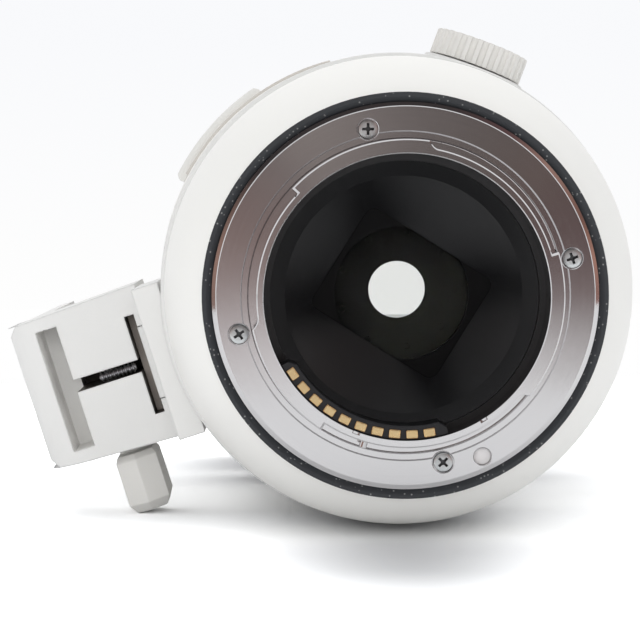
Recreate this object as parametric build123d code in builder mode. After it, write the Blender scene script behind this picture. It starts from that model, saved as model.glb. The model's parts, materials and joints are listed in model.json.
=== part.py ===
from build123d import *
from math import asin, atan2, cos, degrees, pi, radians, sin

# Camera zoom lens with a turning tripod collar and a quick-release foot, in millimetres.
# The optical axis is Y. The mount flange lies at the origin and faces -Y, the front of
# the lens points to +Y, and the lens lies on its side on a table, with +Z up.
# Angles run from +X towards +Z, as seen from the camera side. Radii are from the axis.

# Clearances
run_gap = 0.3
pin_gap = 0.06
fit_gap = 0.05
rail_gap = 0.1
jaw_gap = 0.15
key_gap = 0.2
cut_over_length = 1.0

# Bayonet mount
flange_depth = 2.5
flange_bevel_width = 0.65
flange_bevel_depth = 0.3
flange_rim_width = 4.6
flange_land_width = 1.05
flange_land_depth = 0.3
flange_groove_width = 1.25
flange_groove_depth = 1.1
throat_radius = 21.85
bayonet_wall = 1.1
bayonet_length = 4.5
claw_height = 1.1
claw_depth = 1.4
claw_lead_angle = 4.0
claw_angles = ((-42.0, 16.7), (78.0, 136.6), (187.5, 237.0))
mount_screw_inset_width = 1.05
mount_screw_angle = 12.8
mount_screw_count = 4
mount_screw_head_radius = 1.45
mount_screw_head_depth = 0.87
mount_screw_recess_radius = 1.8
mount_screw_recess_depth = 1.2
mount_screw_shank_radius = 0.8
mount_screw_cross_width = 1.7
mount_screw_slot_width = 0.4
lock_pin_inset_width = 2.25
lock_pin_angle = 295.7
lock_pin_radius = 1.4
lock_pin_depth = 1.6
stop_pin_angle = 253.7
stop_pin_radius = 0.6
stop_pin_height = 0.7
seal_width = 1.55
seal_rear = 0.5
seal_depth = 1.9
seal_bevel_width = 0.65
screw_bite_depth = 2.3

# Electrical contacts
contact_ring_inset_width = 0.95
contact_block_angles = (208.5, 287.0)
contact_block_height = 2.2
contact_block_rear = 3.8
contact_count = 10
contact_first_angle = 213.75
contact_pitch_angle = 7.3
contact_width = 1.75
contact_height = 1.27
contact_stand_height = 0.2

# Light baffle behind the mount
baffle_wall = 0.8
baffle_throat_height = 0.95
baffle_crease_height = 3.25
baffle_crease_depth = 6.2
baffle_mouth_depth = 12.0
baffle_mouth_width = 23.3
baffle_mouth_height = 18.7
baffle_mouth_corner_radius = 1.6
baffle_roll_angle = -32.0
baffle_flange_width = 1.7
baffle_flange_depth = 1.2

# Rear shell
shell_shoulder_height = 6.85
shell_shoulder_depth = 22.0
shell_front = 28.4
shell_wall = 1.8
shell_floor_depth = 2.6
shell_bulge_height = 1.3

# Fixed barrel
seat_step_height = 0.9
barrel_stand_height = 2.2
barrel_wall = 1.5
collar_width = 26.0
seal_space_depth = 7.7
spigot_length = 3.0

# Drive tubes inside the barrel
cam_wall = 1.4
front_tube_wall = 1.2
guide_wall = 1.2
zoom_turn_angle = 75.0
front_travel = 80.0
rear_zoom_travel = 14.0
follower_count = 3
follower_angle = 95.0
follower_radius = 2.0
rear_follower_offset = 11.5
follower_spacing_depth = 21.5
tube_margin = 3.5
guide_flange_depth = 2.5
retainer_depth = 3.0

# Tripod collar
collar_wall = 1.6
collar_bevel_width = 0.5
collar_lock_angle = 69.5
lock_boss_radius = 8.8
lock_boss_height = 0.3
lock_knob_radius = 8.1
lock_knob_height = 4.3
lock_knob_ribs = 26
lock_knob_rib_radius = 0.55
lock_stem_radius = 2.0

# Foot rail and quick-release foot
foot_angle = 197.7
foot_width = 27.6
foot_rear = 45.0
rail_length = 25.0
rail_neck_width = 13.0
rail_head_width = 17.5
rail_head_recess_depth = 5.0
rail_neck_height = 2.0
rail_head_height = 1.5
pedestal_height = 3.0
pedestal_width = 26.4
rail_stop_length = 2.0
clamp_slit_width = 2.2
clamp_slit_depth = 20.0
clamp_slit_height = 15.3
hinge_slot_width = 21.7
hinge_slot_height = 3.8
foot_height = 24.3
foot_sole_width = 25.8
foot_length = 82.0
foot_heel_radius = 8.0
foot_toe_radius = 1.6
foot_edge_width = 1.8
sole_middle_share = 0.62
clamp_axis_rise = 9.8
clamp_screw_radius = 2.0
clamp_knob_width = 7.4
clamp_knob_length = 16.0
clamp_knob_height = 10.6
clamp_knob_neck_radius = 3.0
clamp_knob_neck_height = 0.6
clamp_knob_shares = ((0, 0.86), (0.1, 1), (0.84, 1), (1, 0.74))
small_socket_radius = 2.55
large_socket_radius = 3.97
socket_depth = 4.6
socket_spacing_length = 24.0

# Switch panel on the barrel
panel_pad_angles = (104.6, 151.7)
panel_pad_stand_height = 0.6
panel_pad_rear_gap = 3.3
panel_pad_front_gap = 5.0
panel_angles = (123.3, 154.0)
panel_stand_height = 2.5
panel_rear_margin = 14.0
panel_front_margin = 4.0
panel_bevel_width = 0.8
switch_count = 4
switch_pitch_angle = 7.0
switch_first_angle = 128.2
switch_length = 5.0
switch_width = 2.8
switch_recess_depth = 0.15
switch_travel = 4.0
switch_slot_depth = 1.6
switch_corner_radius = 0.7
switch_bevel_width = 0.25

# Turning rings
focus_length = 18.0
focus_stand_height = 1.5
focus_grip_height = 0.8
focus_ribs = 60
band_length = 13.0
band_stand_height = 2.8
tension_length = 7.0
tension_stand_height = 3.4
tension_rib_height = 0.6
tension_ribs = 48
zoom_length = 33.0
zoom_stand_height = 2.8
zoom_grip_height = 1.0
zoom_ribs = 54
zoom_stop_gap = 1.1
grip_margin = 2.2
rib_gap_share = 0.4
key_width = 8.0
key_depth = 6.0
key_rear_offset = 8.1

# Focus-hold buttons
button_angles = (149.0, 59.0, -31.0)
button_radius = 4.2
button_stand_height = 0.3
button_travel = 0.8
button_depth = 1.5
button_rim_width = 0.5

# Front group
head_stand_height = 4.0
head_length = 18.6
head_bevel_width = 0.7
filter_rim_width = 5.9
filter_depth = 4.5
front_cell_wall = 2.0
front_lens_rim_width = 4.0
front_lens_edge_depth = 4.0
front_lens_crown_height = 2.2
hood_lug_height = 0.9
hood_lug_depth = 2.0
hood_lug_angle = 32.0
head_wall = 2.2

# Inner groups
core_flange_rear = 34.0
core_flange_depth = 3.0
core_tube_radius = 19.4
core_tube_wall = 1.8
rear_cell_rear = 12.4
rear_cell_length = 14.0
rear_lens_radius = 12.5
rear_lens_edge_depth = 2.4
rear_lens_crown_height = 1.1
iris_rear = 26.9
board_rear = 24.6
board_depth = 1.6
board_inner_gap = 0.8
board_outer_gap = 1.35
standoff_radius = 2.2
standoff_inset_width = 5.85
standoff_angle = 30.0
rod_radius = 1.5
rod_inset_width = 4.5
rod_angle = 60.0
focus_group_rear = 44.0
focus_group_length = 6.0
focus_group_gap = 3.7
focus_lens_radius = 15.0
magnet_angle = 150.0
magnet_width = 8.0
magnet_height = 3.0
coil_wall = 1.6
middle_cell_length = 5.5
middle_lens_radius = 16.0
zoom_group_length = 13.0
zoom_group_wall = 2.2
zoom_lens_radius = 19.0
thin_lens_edge_depth = 2.2
thin_lens_crown_height = 1.2

# Iris
iris_blades = 9
iris_open_radius = 4.7
iris_pivot_circle_radius = 9.5
iris_pin_radius = 0.45
iris_blade_depth = 0.12
iris_layer_depth = 0.22
iris_blade_width = 4.0
iris_blade_angles = (-6.0, 115.0)
iris_lobe_radius = 0.91
iris_blade_margin = 0.1
iris_ring_turn_angle = 26.0
iris_swing_angle = 24.0
iris_drive_reach_length = 2.6
iris_base_depth = 1.2
iris_ring_depth = 1.0
iris_ring_bore_radius = 7.2
iris_cover_depth = 0.8

# Worked-out radii, from the mount's throat outwards
bayonet_radius = throat_radius + bayonet_wall
claw_radius = bayonet_radius + claw_height
flange_groove_radius = bayonet_radius + flange_groove_width
flange_land_radius = flange_groove_radius + flange_land_width
flange_radius = flange_land_radius + flange_rim_width
mount_screw_circle_radius = flange_land_radius + mount_screw_inset_width
lock_pin_circle_radius = flange_land_radius + lock_pin_inset_width
contact_ring_radius = throat_radius - contact_ring_inset_width
contact_block_inner_radius = throat_radius - contact_block_height
baffle_throat_radius = throat_radius - baffle_throat_height
baffle_crease_radius = throat_radius - baffle_crease_height
seal_radius = flange_radius + seal_width
shell_rear_radius = seal_radius - fit_gap
shell_shoulder_radius = shell_rear_radius + shell_shoulder_height
seat_radius = shell_shoulder_radius - seat_step_height
collar_inner = seat_radius + run_gap
collar_outer = collar_inner + collar_wall
rail_seat_height = collar_outer + pedestal_height
clamp_axis_height = rail_seat_height + clamp_axis_rise
clamp_slit_end_height = rail_seat_height + clamp_slit_height
foot_sole_height = rail_seat_height + foot_height
barrel_radius = shell_shoulder_radius + barrel_stand_height
head_radius = barrel_radius + head_stand_height
filter_radius = head_radius - filter_rim_width
front_lens_radius = filter_radius - front_lens_rim_width

# Worked-out radii, from the barrel inwards and outwards
barrel_bore = barrel_radius - barrel_wall
cam_outer = barrel_bore - run_gap
cam_inner = cam_outer - cam_wall
front_tube_outer = cam_inner - run_gap
front_tube_inner = front_tube_outer - front_tube_wall
guide_outer = front_tube_inner - run_gap
guide_inner = guide_outer - guide_wall
spigot_radius = shell_shoulder_radius - shell_wall - fit_gap
seat_bore = spigot_radius - barrel_wall
board_inner_radius = core_tube_radius + board_inner_gap
board_outer_radius = seat_bore - board_outer_gap
standoff_circle_radius = seat_bore - standoff_inset_width
focus_group_radius = guide_inner - focus_group_gap
rod_circle_radius = focus_group_radius - rod_inset_width
panel_pad_radius = barrel_radius + panel_pad_stand_height
panel_radius = barrel_radius + panel_stand_height
focus_radius = barrel_radius + focus_stand_height
focus_grip_radius = focus_radius + focus_grip_height
band_radius = barrel_radius + band_stand_height
tension_radius = barrel_radius + tension_stand_height
zoom_radius = barrel_radius + zoom_stand_height
zoom_grip_radius = zoom_radius + zoom_grip_height

# Worked-out places along the axis, from the mount to the front
collar_rear = shell_front + run_gap
collar_front = collar_rear + collar_width
barrel_step = collar_front + run_gap
guide_rear = barrel_step + barrel_wall
cam_rear = guide_rear + guide_flange_depth + run_gap
rear_follower_depth = guide_rear + rear_follower_offset
front_follower_depth = rear_follower_depth + follower_spacing_depth
cam_front = front_follower_depth + front_travel + follower_radius + tube_margin
retainer_rear = cam_front + run_gap
barrel_front = retainer_rear + retainer_depth + seal_space_depth
zoom_front = barrel_front - zoom_stop_gap
zoom_rear = zoom_front - zoom_length
key_place = zoom_rear + key_rear_offset
tension_rear = zoom_rear - run_gap - tension_length
band_front = tension_rear - run_gap
band_rear = band_front - band_length
focus_front = band_rear - run_gap
focus_rear = focus_front - focus_length
panel_pad_span = (collar_front + panel_pad_rear_gap, focus_rear - panel_pad_front_gap)
panel_span = (panel_pad_span[0] + panel_rear_margin, panel_pad_span[1] - panel_front_margin)
head_rear = barrel_front + 2 * run_gap
head_front = head_rear + head_length
front_tube_rear = front_follower_depth - follower_radius - tube_margin / 2
core_front = core_flange_rear + core_flange_depth


def across(depth):
    """Plane square to the axis, with x along X and y along Z."""
    return Plane.XZ.offset(-depth)


def out_of(angle, radius, depth):
    """Plane that faces outwards at an angle, a radius and a depth, with x along the axis."""
    side = radians(angle)
    place = (radius * cos(side), depth, radius * sin(side))
    return Plane(origin=place, x_dir=(0, 1, 0), z_dir=(cos(side), 0, sin(side)))


def tube(outer, inner, rear, front, mode=Mode.ADD):
    """Plain tube about the axis between two depths; an inner radius of zero fills it."""
    with BuildSketch(across(rear)) as profile:
        Circle(outer)
        if inner > 0:
            Circle(inner, mode=Mode.SUBTRACT)
    extrude(profile.sketch, amount=rear - front, mode=mode)


def sector(outer, inner, angles, rear, front, mode=Mode.ADD, lead=0):
    """Part of a tube between two angles and two depths; a lead slopes its first end."""
    start, end = angles
    with BuildSketch(across(rear)) as profile:
        with BuildLine():
            CenterArc((0, 0), outer, start + lead, end - start - lead)
            CenterArc((0, 0), inner, start, end - start)
            for low, high in ((start, start + lead), (end, end)):
                foot, top = radians(low), radians(high)
                Line((inner * cos(foot), inner * sin(foot)), (outer * cos(top), outer * sin(top)))
        make_face()
    extrude(profile.sketch, amount=rear - front, mode=mode)


def ribbed_tube(outer, root, inner, ribs, rear, front):
    """Tube with straight ribs along the axis, all round."""
    rib_width = 2 * pi * root / ribs * (1 - rib_gap_share)
    with BuildSketch(across(rear)) as profile:
        Circle(root)
        with PolarLocations(root, ribs):
            Rectangle(2 * (outer - root), rib_width)
        Circle(inner, mode=Mode.SUBTRACT)
    extrude(profile.sketch, amount=rear - front)


def lens(radius, edge, crown, rear):
    """Lens element: a cylinder edge with one dome on each side."""
    front = rear + edge
    with BuildSketch(Plane.XY) as profile:
        with BuildLine():
            Polyline((0, rear - crown), (0, front + crown))
            CenterArc(*arc_of(radius, crown, front, 1))
            Line((radius, front), (radius, rear))
            CenterArc(*arc_of(radius, crown, rear, -1))
        make_face()
    revolve(profile.sketch, axis=Axis.Y)


def arc_of(radius, crown, depth, side):
    """Centre, radius, start angle and sweep of half a dome's section."""
    bend = (radius**2 + crown**2) / (2 * crown)
    centre = depth + side * (crown - bend)
    half = degrees(asin(radius / bend))
    return (0, centre), bend, side * 90, -side * half


def save(piece, name):
    """Label a finished piece and write it out under its own name."""
    piece.part.label = name
    export_step(piece.part, f"parts/{name}.step")


# Bayonet mount: flange ring with its land and groove, bayonet tube and three claws
with BuildPart() as mount_flange:
    with BuildSketch(Plane.XY) as flange_profile:
        with BuildLine():
            Polyline(
                (flange_radius, flange_bevel_depth),
                (flange_radius - flange_bevel_width, 0),
                (flange_land_radius, 0),
                (flange_land_radius, flange_land_depth),
                (flange_groove_radius, flange_land_depth),
                (flange_groove_radius, flange_groove_depth),
                (bayonet_radius, flange_groove_depth),
                (bayonet_radius, -bayonet_length),
                (throat_radius, -bayonet_length),
                (throat_radius, flange_depth),
                (flange_radius, flange_depth),
                close=True,
            )
        make_face()
    revolve(flange_profile.sketch, axis=Axis.Y)
    for angles in claw_angles:
        sector(
            claw_radius,
            throat_radius + bayonet_wall / 2,
            angles,
            -bayonet_length,
            claw_depth - bayonet_length,
            lead=claw_lead_angle,
        )
    with BuildSketch(across(0)) as lock_recess:
        with PolarLocations(lock_pin_circle_radius, 1, start_angle=lock_pin_angle):
            Circle(lock_pin_radius)
    extrude(lock_recess.sketch, amount=-lock_pin_depth, mode=Mode.SUBTRACT)
    with BuildSketch(across(0)) as screw_recess:
        with PolarLocations(mount_screw_circle_radius, mount_screw_count, start_angle=mount_screw_angle):
            Circle(mount_screw_recess_radius)
    extrude(screw_recess.sketch, amount=-mount_screw_recess_depth, mode=Mode.SUBTRACT)
    with BuildSketch(across(0)) as screw_holes:
        with PolarLocations(mount_screw_circle_radius, mount_screw_count, start_angle=mount_screw_angle):
            Circle(mount_screw_shank_radius + pin_gap)
    extrude(screw_holes.sketch, amount=-flange_depth, mode=Mode.SUBTRACT)
    pin_place = out_of(stop_pin_angle, throat_radius + bayonet_wall / 2, -bayonet_length / 2)
    with BuildSketch(pin_place) as stop_pin:
        Circle(stop_pin_radius)
    extrude(stop_pin.sketch, amount=bayonet_wall / 2 + stop_pin_height)
save(mount_flange, "mount_flange")

# Cross-recessed screws that hold the flange to the shell floor
with BuildPart() as mount_screws:
    head_face = mount_screw_recess_depth - mount_screw_head_depth
    with BuildSketch(across(head_face)) as heads:
        with PolarLocations(mount_screw_circle_radius, mount_screw_count, start_angle=mount_screw_angle):
            Circle(mount_screw_head_radius)
    extrude(heads.sketch, amount=head_face - mount_screw_recess_depth)
    with BuildSketch(across(mount_screw_recess_depth)) as shanks:
        with PolarLocations(mount_screw_circle_radius, mount_screw_count, start_angle=mount_screw_angle):
            Circle(mount_screw_shank_radius)
    extrude(shanks.sketch, amount=mount_screw_recess_depth - flange_depth - screw_bite_depth)
    with BuildSketch(across(head_face)) as crosses:
        with PolarLocations(mount_screw_circle_radius, mount_screw_count, start_angle=mount_screw_angle):
            Rectangle(mount_screw_cross_width, mount_screw_slot_width)
            Rectangle(mount_screw_slot_width, mount_screw_cross_width)
    extrude(crosses.sketch, amount=-mount_screw_slot_width, mode=Mode.SUBTRACT)
save(mount_screws, "mount_screws")

# Rubber skirt that seals the flange against the camera
with BuildPart() as mount_seal:
    with BuildSketch(Plane.XY) as seal_profile:
        with BuildLine():
            Polyline(
                (flange_radius + fit_gap, seal_rear + seal_bevel_width),
                (flange_radius + fit_gap, flange_depth),
                (shell_rear_radius, flange_depth),
                (seal_radius, seal_rear + seal_depth / 2),
                (seal_radius, seal_rear),
                (seal_radius - seal_bevel_width, seal_rear),
                close=True,
            )
        make_face()
    revolve(seal_profile.sketch, axis=Axis.Y)
save(mount_seal, "mount_seal")

# Black block that carries the contacts inside the bayonet tube
with BuildPart() as contact_block:
    sector(
        throat_radius - fit_gap,
        contact_block_inner_radius,
        contact_block_angles,
        -contact_block_rear,
        flange_depth,
    )
    chamfer(contact_block.edges().filter_by(Axis.Y).group_by(Axis.X)[0], contact_stand_height)
save(contact_block, "contact_block")

# Gold-plated contact pads, one solid each
with BuildPart() as contact_pins:
    pad_face = -contact_block_rear - contact_stand_height
    with BuildSketch(across(pad_face)) as pads:
        for count in range(contact_count):
            side = contact_first_angle + count * contact_pitch_angle
            with PolarLocations(contact_ring_radius, 1, start_angle=side):
                RectangleRounded(contact_height, contact_width, contact_stand_height)
    extrude(pads.sketch, amount=-contact_stand_height)
save(contact_pins, "contact_pins")

# Light baffle: a flange, a cone and a funnel to a rounded rectangular mouth
with BuildPart() as rear_baffle:
    baffle_rear = flange_depth + fit_gap
    cone_rear = baffle_rear + baffle_flange_depth
    tube(throat_radius + baffle_flange_width, baffle_throat_radius, baffle_rear, cone_rear)
    for wall in (baffle_wall, 0):
        with BuildSketch(across(cone_rear)) as cone_start:
            Circle(baffle_throat_radius + wall)
        with BuildSketch(across(baffle_crease_depth)) as crease:
            Circle(baffle_crease_radius + wall)
        with BuildSketch(across(baffle_mouth_depth)) as mouth:
            RectangleRounded(
                baffle_mouth_width + 2 * wall,
                baffle_mouth_height + 2 * wall,
                baffle_mouth_corner_radius + wall,
                rotation=baffle_roll_angle,
            )
        side = Mode.ADD if wall else Mode.SUBTRACT
        loft((cone_start.sketch, crease.sketch), mode=side)
        loft((crease.sketch, mouth.sketch), mode=side)
save(rear_baffle, "rear_baffle")

# Painted rear shell: a domed cone with a floor that the flange screws bite into
with BuildPart() as rear_shell:
    floor_front = flange_depth + shell_floor_depth
    floor_inner = throat_radius + baffle_flange_width + fit_gap
    inner_rear = shell_rear_radius - shell_wall / 2
    inner_front = shell_shoulder_radius - shell_wall
    rise = shell_shoulder_depth - flange_depth
    mid_radius = (shell_rear_radius + shell_shoulder_radius) / 2 + shell_bulge_height
    mid_depth = (flange_depth + shell_shoulder_depth) / 2 - shell_bulge_height / 2
    with BuildSketch(Plane.XY) as shell_profile:
        with BuildLine():
            ThreePointArc(
                (shell_rear_radius, flange_depth),
                (mid_radius, mid_depth),
                (shell_shoulder_radius, shell_shoulder_depth),
            )
            Polyline(
                (shell_shoulder_radius, shell_shoulder_depth),
                (shell_shoulder_radius, shell_front),
                (inner_front, shell_front),
                (inner_front, shell_shoulder_depth),
            )
            ThreePointArc(
                (inner_front, shell_shoulder_depth),
                (mid_radius - shell_wall, mid_depth),
                (inner_rear, floor_front),
            )
            Polyline(
                (inner_rear, floor_front),
                (floor_inner, floor_front),
                (floor_inner, flange_depth),
                (shell_rear_radius, flange_depth),
            )
        make_face()
    revolve(shell_profile.sketch, axis=Axis.Y)
    with BuildSketch(across(flange_depth)) as bites:
        with PolarLocations(mount_screw_circle_radius, mount_screw_count, start_angle=mount_screw_angle):
            Circle(mount_screw_shank_radius + fit_gap)
    extrude(bites.sketch, amount=-screw_bite_depth - fit_gap, mode=Mode.SUBTRACT)
save(rear_shell, "rear_shell")

# Fixed barrel: spigot, collar seat, and the long sleeve that the rings turn on
follower_angles = [follower_angle + 360 / follower_count * count for count in range(follower_count)]
turn_at_key = zoom_turn_angle * (key_place - front_follower_depth) / front_travel
key_angles = [angle + turn_at_key + 180 / follower_count for angle in follower_angles]
key_half_angle = degrees(asin((key_width / 2 + run_gap) / barrel_bore))
with BuildPart() as main_barrel:
    with BuildSketch(Plane.XY) as barrel_profile:
        with BuildLine():
            Polyline(
                (spigot_radius, shell_front - spigot_length),
                (spigot_radius, shell_front),
                (seat_radius, shell_front),
                (seat_radius, barrel_step),
                (barrel_radius, barrel_step),
                (barrel_radius, barrel_front),
                (barrel_bore, barrel_front),
                (barrel_bore, guide_rear),
                (seat_bore, guide_rear),
                (seat_bore, shell_front - spigot_length),
                close=True,
            )
        make_face()
    revolve(barrel_profile.sketch, axis=Axis.Y)
    for angle in key_angles:
        sector(
            barrel_radius + cut_over_length,
            barrel_bore - cut_over_length,
            (angle - zoom_turn_angle - key_half_angle, angle + key_half_angle),
            key_place - key_depth / 2 - run_gap,
            key_place + key_depth / 2 + run_gap,
            mode=Mode.SUBTRACT,
        )
save(main_barrel, "main_barrel")

# Grey pad round the barrel under the switch panel
with BuildPart() as barrel_pad:
    sector(panel_pad_radius, barrel_radius + fit_gap, panel_pad_angles, *panel_pad_span)
save(barrel_pad, "barrel_pad")

# Switch panel with one flat-bottomed slot for each slide switch
panel_middle = sum(panel_span) / 2
switch_angles = [switch_first_angle + count * switch_pitch_angle for count in range(switch_count)]
switch_floor_radius = panel_radius - switch_slot_depth
with BuildPart() as switch_panel:
    sector(panel_radius, panel_pad_radius + fit_gap, panel_angles, *panel_span)
    outer_edges = switch_panel.faces().sort_by(SortBy.AREA)[-1].edges()
    chamfer(outer_edges, panel_bevel_width)
    for angle in switch_angles:
        with BuildSketch(out_of(angle, switch_floor_radius, panel_middle)) as slot:
            Rectangle(
                switch_length + switch_travel + 2 * run_gap,
                switch_width + 2 * run_gap,
            )
        extrude(slot.sketch, amount=switch_slot_depth + cut_over_length, mode=Mode.SUBTRACT)
save(switch_panel, "switch_panel")

# Slide switches, at rest at the rear end of their slots
for count, angle in enumerate(switch_angles, start=1):
    with BuildPart() as switch:
        rest_place = panel_middle - switch_travel / 2
        with BuildSketch(out_of(angle, switch_floor_radius + run_gap / 2, rest_place)) as foot_print:
            RectangleRounded(switch_length, switch_width, switch_corner_radius)
        extrude(foot_print.sketch, amount=switch_slot_depth - switch_recess_depth - run_gap / 2)
        top = switch.faces().sort_by(Axis((0, 0, 0), out_of(angle, 0, 0).z_dir))[-1]
        chamfer(top.edges(), switch_bevel_width)
    save(switch, f"slide_switch_{count}")

# Focus ring: a sleeve with a rim at each end, and its ribbed rubber grip
with BuildPart() as focus_ring:
    tube(focus_radius, barrel_radius + run_gap, focus_rear, focus_front)
    rim_radius = (focus_radius + focus_grip_radius) / 2
    tube(rim_radius, focus_radius, focus_rear, focus_rear + grip_margin)
    tube(rim_radius, focus_radius, focus_front - grip_margin, focus_front)
save(focus_ring, "focus_ring")

with BuildPart() as focus_grip:
    ribbed_tube(
        focus_grip_radius,
        rim_radius,
        focus_radius + fit_gap,
        focus_ribs,
        focus_rear + grip_margin,
        focus_front - grip_margin,
    )
save(focus_grip, "focus_grip")

# Fixed band that carries the focus-hold buttons
button_pocket = button_depth + button_travel + run_gap
band_middle = (band_rear + band_front) / 2
with BuildPart() as button_band:
    tube(band_radius, barrel_radius + fit_gap, band_rear, band_front)
    for angle in button_angles:
        with BuildSketch(out_of(angle, band_radius - button_pocket, band_middle)) as pocket:
            Circle(button_radius + run_gap)
        extrude(pocket.sketch, amount=button_pocket + cut_over_length, mode=Mode.SUBTRACT)
save(button_band, "button_band")

for count, angle in enumerate(button_angles, start=1):
    with BuildPart() as button:
        with BuildSketch(out_of(angle, band_radius - button_depth, band_middle)) as cap:
            Circle(button_radius)
        extrude(cap.sketch, amount=button_depth + button_stand_height)
        with BuildSketch(out_of(angle, band_radius + button_stand_height, band_middle)) as dish:
            Circle(button_radius - button_rim_width)
        extrude(dish.sketch, amount=-button_stand_height, mode=Mode.SUBTRACT)
    save(button, f"hold_button_{count}")

# Ring that sets how stiffly the zoom turns
with BuildPart() as tension_ring:
    ribbed_tube(
        tension_radius,
        tension_radius - tension_rib_height,
        barrel_radius + run_gap,
        tension_ribs,
        tension_rear,
        tension_rear + tension_length,
    )
save(tension_ring, "tension_ring")

# Zoom ring: two bearing lands, a relieved middle, and a ribbed rubber grip
relief_radius = (barrel_radius + zoom_radius) / 2
zoom_rim_radius = (zoom_radius + zoom_grip_radius) / 2
with BuildPart() as zoom_ring:
    with BuildSketch(Plane.XY) as zoom_profile:
        with BuildLine():
            Polyline(
                (barrel_radius + run_gap, zoom_rear),
                (zoom_rim_radius, zoom_rear),
                (zoom_rim_radius, zoom_rear + grip_margin),
                (zoom_radius, zoom_rear + grip_margin),
                (zoom_radius, zoom_front - grip_margin),
                (zoom_rim_radius, zoom_front - grip_margin),
                (zoom_rim_radius, zoom_front),
                (barrel_radius + run_gap, zoom_front),
                (barrel_radius + run_gap, zoom_front - grip_margin),
                (relief_radius, zoom_front - grip_margin),
                (relief_radius, zoom_rear + grip_margin),
                (barrel_radius + run_gap, zoom_rear + grip_margin),
                close=True,
            )
        make_face()
    revolve(zoom_profile.sketch, axis=Axis.Y)
save(zoom_ring, "zoom_ring")

with BuildPart() as zoom_grip:
    ribbed_tube(
        zoom_grip_radius,
        zoom_rim_radius,
        zoom_radius + fit_gap,
        zoom_ribs,
        zoom_rear + grip_margin,
        zoom_front - grip_margin,
    )
save(zoom_grip, "zoom_grip")


def helical_slot(rear, travel):
    """Cutter for one cam slot through the cam tube's wall; it starts at 90 degrees."""
    middle = (cam_outer + cam_inner) / 2
    depth = 2 * cam_wall
    width = 2 * (follower_radius + 2 * pin_gap)
    with BuildPart(mode=Mode.PRIVATE) as slot:
        with BuildLine() as path:
            Helix(
                pitch=travel * 360 / zoom_turn_angle,
                height=travel,
                radius=middle,
                center=(0, rear, 0),
                direction=(0, 1, 0),
                lefthand=True,
            )
        route = path.line
        start = route @ 0
        with BuildSketch(Plane(origin=start, x_dir=(start.X, 0, start.Z), z_dir=route % 0)) as bar:
            Rectangle(depth, width)
        sweep(bar.sketch, path=route, is_frenet=True)
        for end in (route @ 0, route @ 1):
            side = degrees(atan2(end.Z, end.X))
            with BuildSketch(out_of(side, middle - depth / 2, end.Y)) as round_end:
                Circle(width / 2)
            extrude(round_end.sketch, amount=depth)
    return slot.part


# Cam tube: helical slots for the front tube and for the rear zoom group, and drive keys
with BuildPart() as cam_barrel:
    tube(cam_outer, cam_inner, cam_rear, cam_front)
    for slot in (
        helical_slot(front_follower_depth, front_travel),
        helical_slot(rear_follower_depth, rear_zoom_travel),
    ):
        for angle in follower_angles:
            add(slot, rotation=(0, 90 - angle, 0), mode=Mode.SUBTRACT)
    for angle in key_angles:
        with BuildSketch(out_of(angle, cam_outer - cam_wall / 2, key_place)) as key:
            Rectangle(key_depth, key_width)
        extrude(key.sketch, amount=relief_radius - key_gap - cam_outer + cam_wall / 2)
save(cam_barrel, "cam_barrel")

# Fixed guide tube with straight slots, and a flange that seats on the barrel's shoulder
with BuildPart() as guide_tube:
    tube(guide_outer, guide_inner, guide_rear, cam_front)
    tube(barrel_bore - fit_gap, guide_inner, guide_rear, guide_rear + guide_flange_depth)
    slot_rear = rear_follower_depth - follower_radius - pin_gap
    slot_front = front_follower_depth + front_travel + follower_radius + pin_gap
    for angle in follower_angles:
        middle_place = (slot_rear + slot_front) / 2
        with BuildSketch(out_of(angle, guide_inner - cut_over_length, middle_place)) as straight_slot:
            SlotOverall(slot_front - slot_rear, 2 * (follower_radius + pin_gap))
        extrude(straight_slot.sketch, amount=guide_wall + 2 * cut_over_length, mode=Mode.SUBTRACT)
save(guide_tube, "guide_tube")

# Ring that keeps the cam tube in the barrel, and the dust seal in front of it
with BuildPart() as cam_retainer:
    tube(
        barrel_bore - fit_gap,
        front_tube_outer + run_gap,
        retainer_rear,
        retainer_rear + retainer_depth,
    )
save(cam_retainer, "cam_retainer")

with BuildPart() as dust_seal:
    tube(
        barrel_bore - fit_gap,
        front_tube_outer + run_gap / 2,
        barrel_front - retainer_depth,
        barrel_front - fit_gap,
    )
save(dust_seal, "dust_seal")

# Sliding front tube, which ends in the cell of the front lens
cell_outer = head_radius - head_wall - fit_gap
cell_rear = head_rear + front_cell_wall
front_lens_rear = cell_rear + front_cell_wall + front_lens_crown_height
cell_front = front_lens_rear + front_lens_edge_depth + front_cell_wall
with BuildPart() as front_tube:
    tube(front_tube_outer, front_tube_inner, front_tube_rear, cell_rear)
    tube(cell_outer, front_lens_radius - front_cell_wall, cell_rear, cell_rear + front_cell_wall)
    tube(
        front_lens_radius + front_cell_wall,
        front_lens_radius + fit_gap,
        cell_rear + front_cell_wall,
        cell_front,
    )
    for angle in follower_angles:
        with BuildSketch(out_of(angle, front_tube_inner - cut_over_length, front_follower_depth)) as hole:
            Circle(follower_radius + fit_gap)
        extrude(hole.sketch, amount=front_tube_wall + 2 * cut_over_length, mode=Mode.SUBTRACT)
save(front_tube, "front_tube")

with BuildPart() as front_followers:
    for angle in follower_angles:
        with BuildSketch(out_of(angle, guide_inner + fit_gap, front_follower_depth)) as roller:
            Circle(follower_radius)
        extrude(roller.sketch, amount=cam_outer - guide_inner - 2 * fit_gap)
save(front_followers, "front_followers")

with BuildPart() as front_lens:
    lens(front_lens_radius, front_lens_edge_depth, front_lens_crown_height, front_lens_rear)
save(front_lens, "front_lens")

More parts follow.
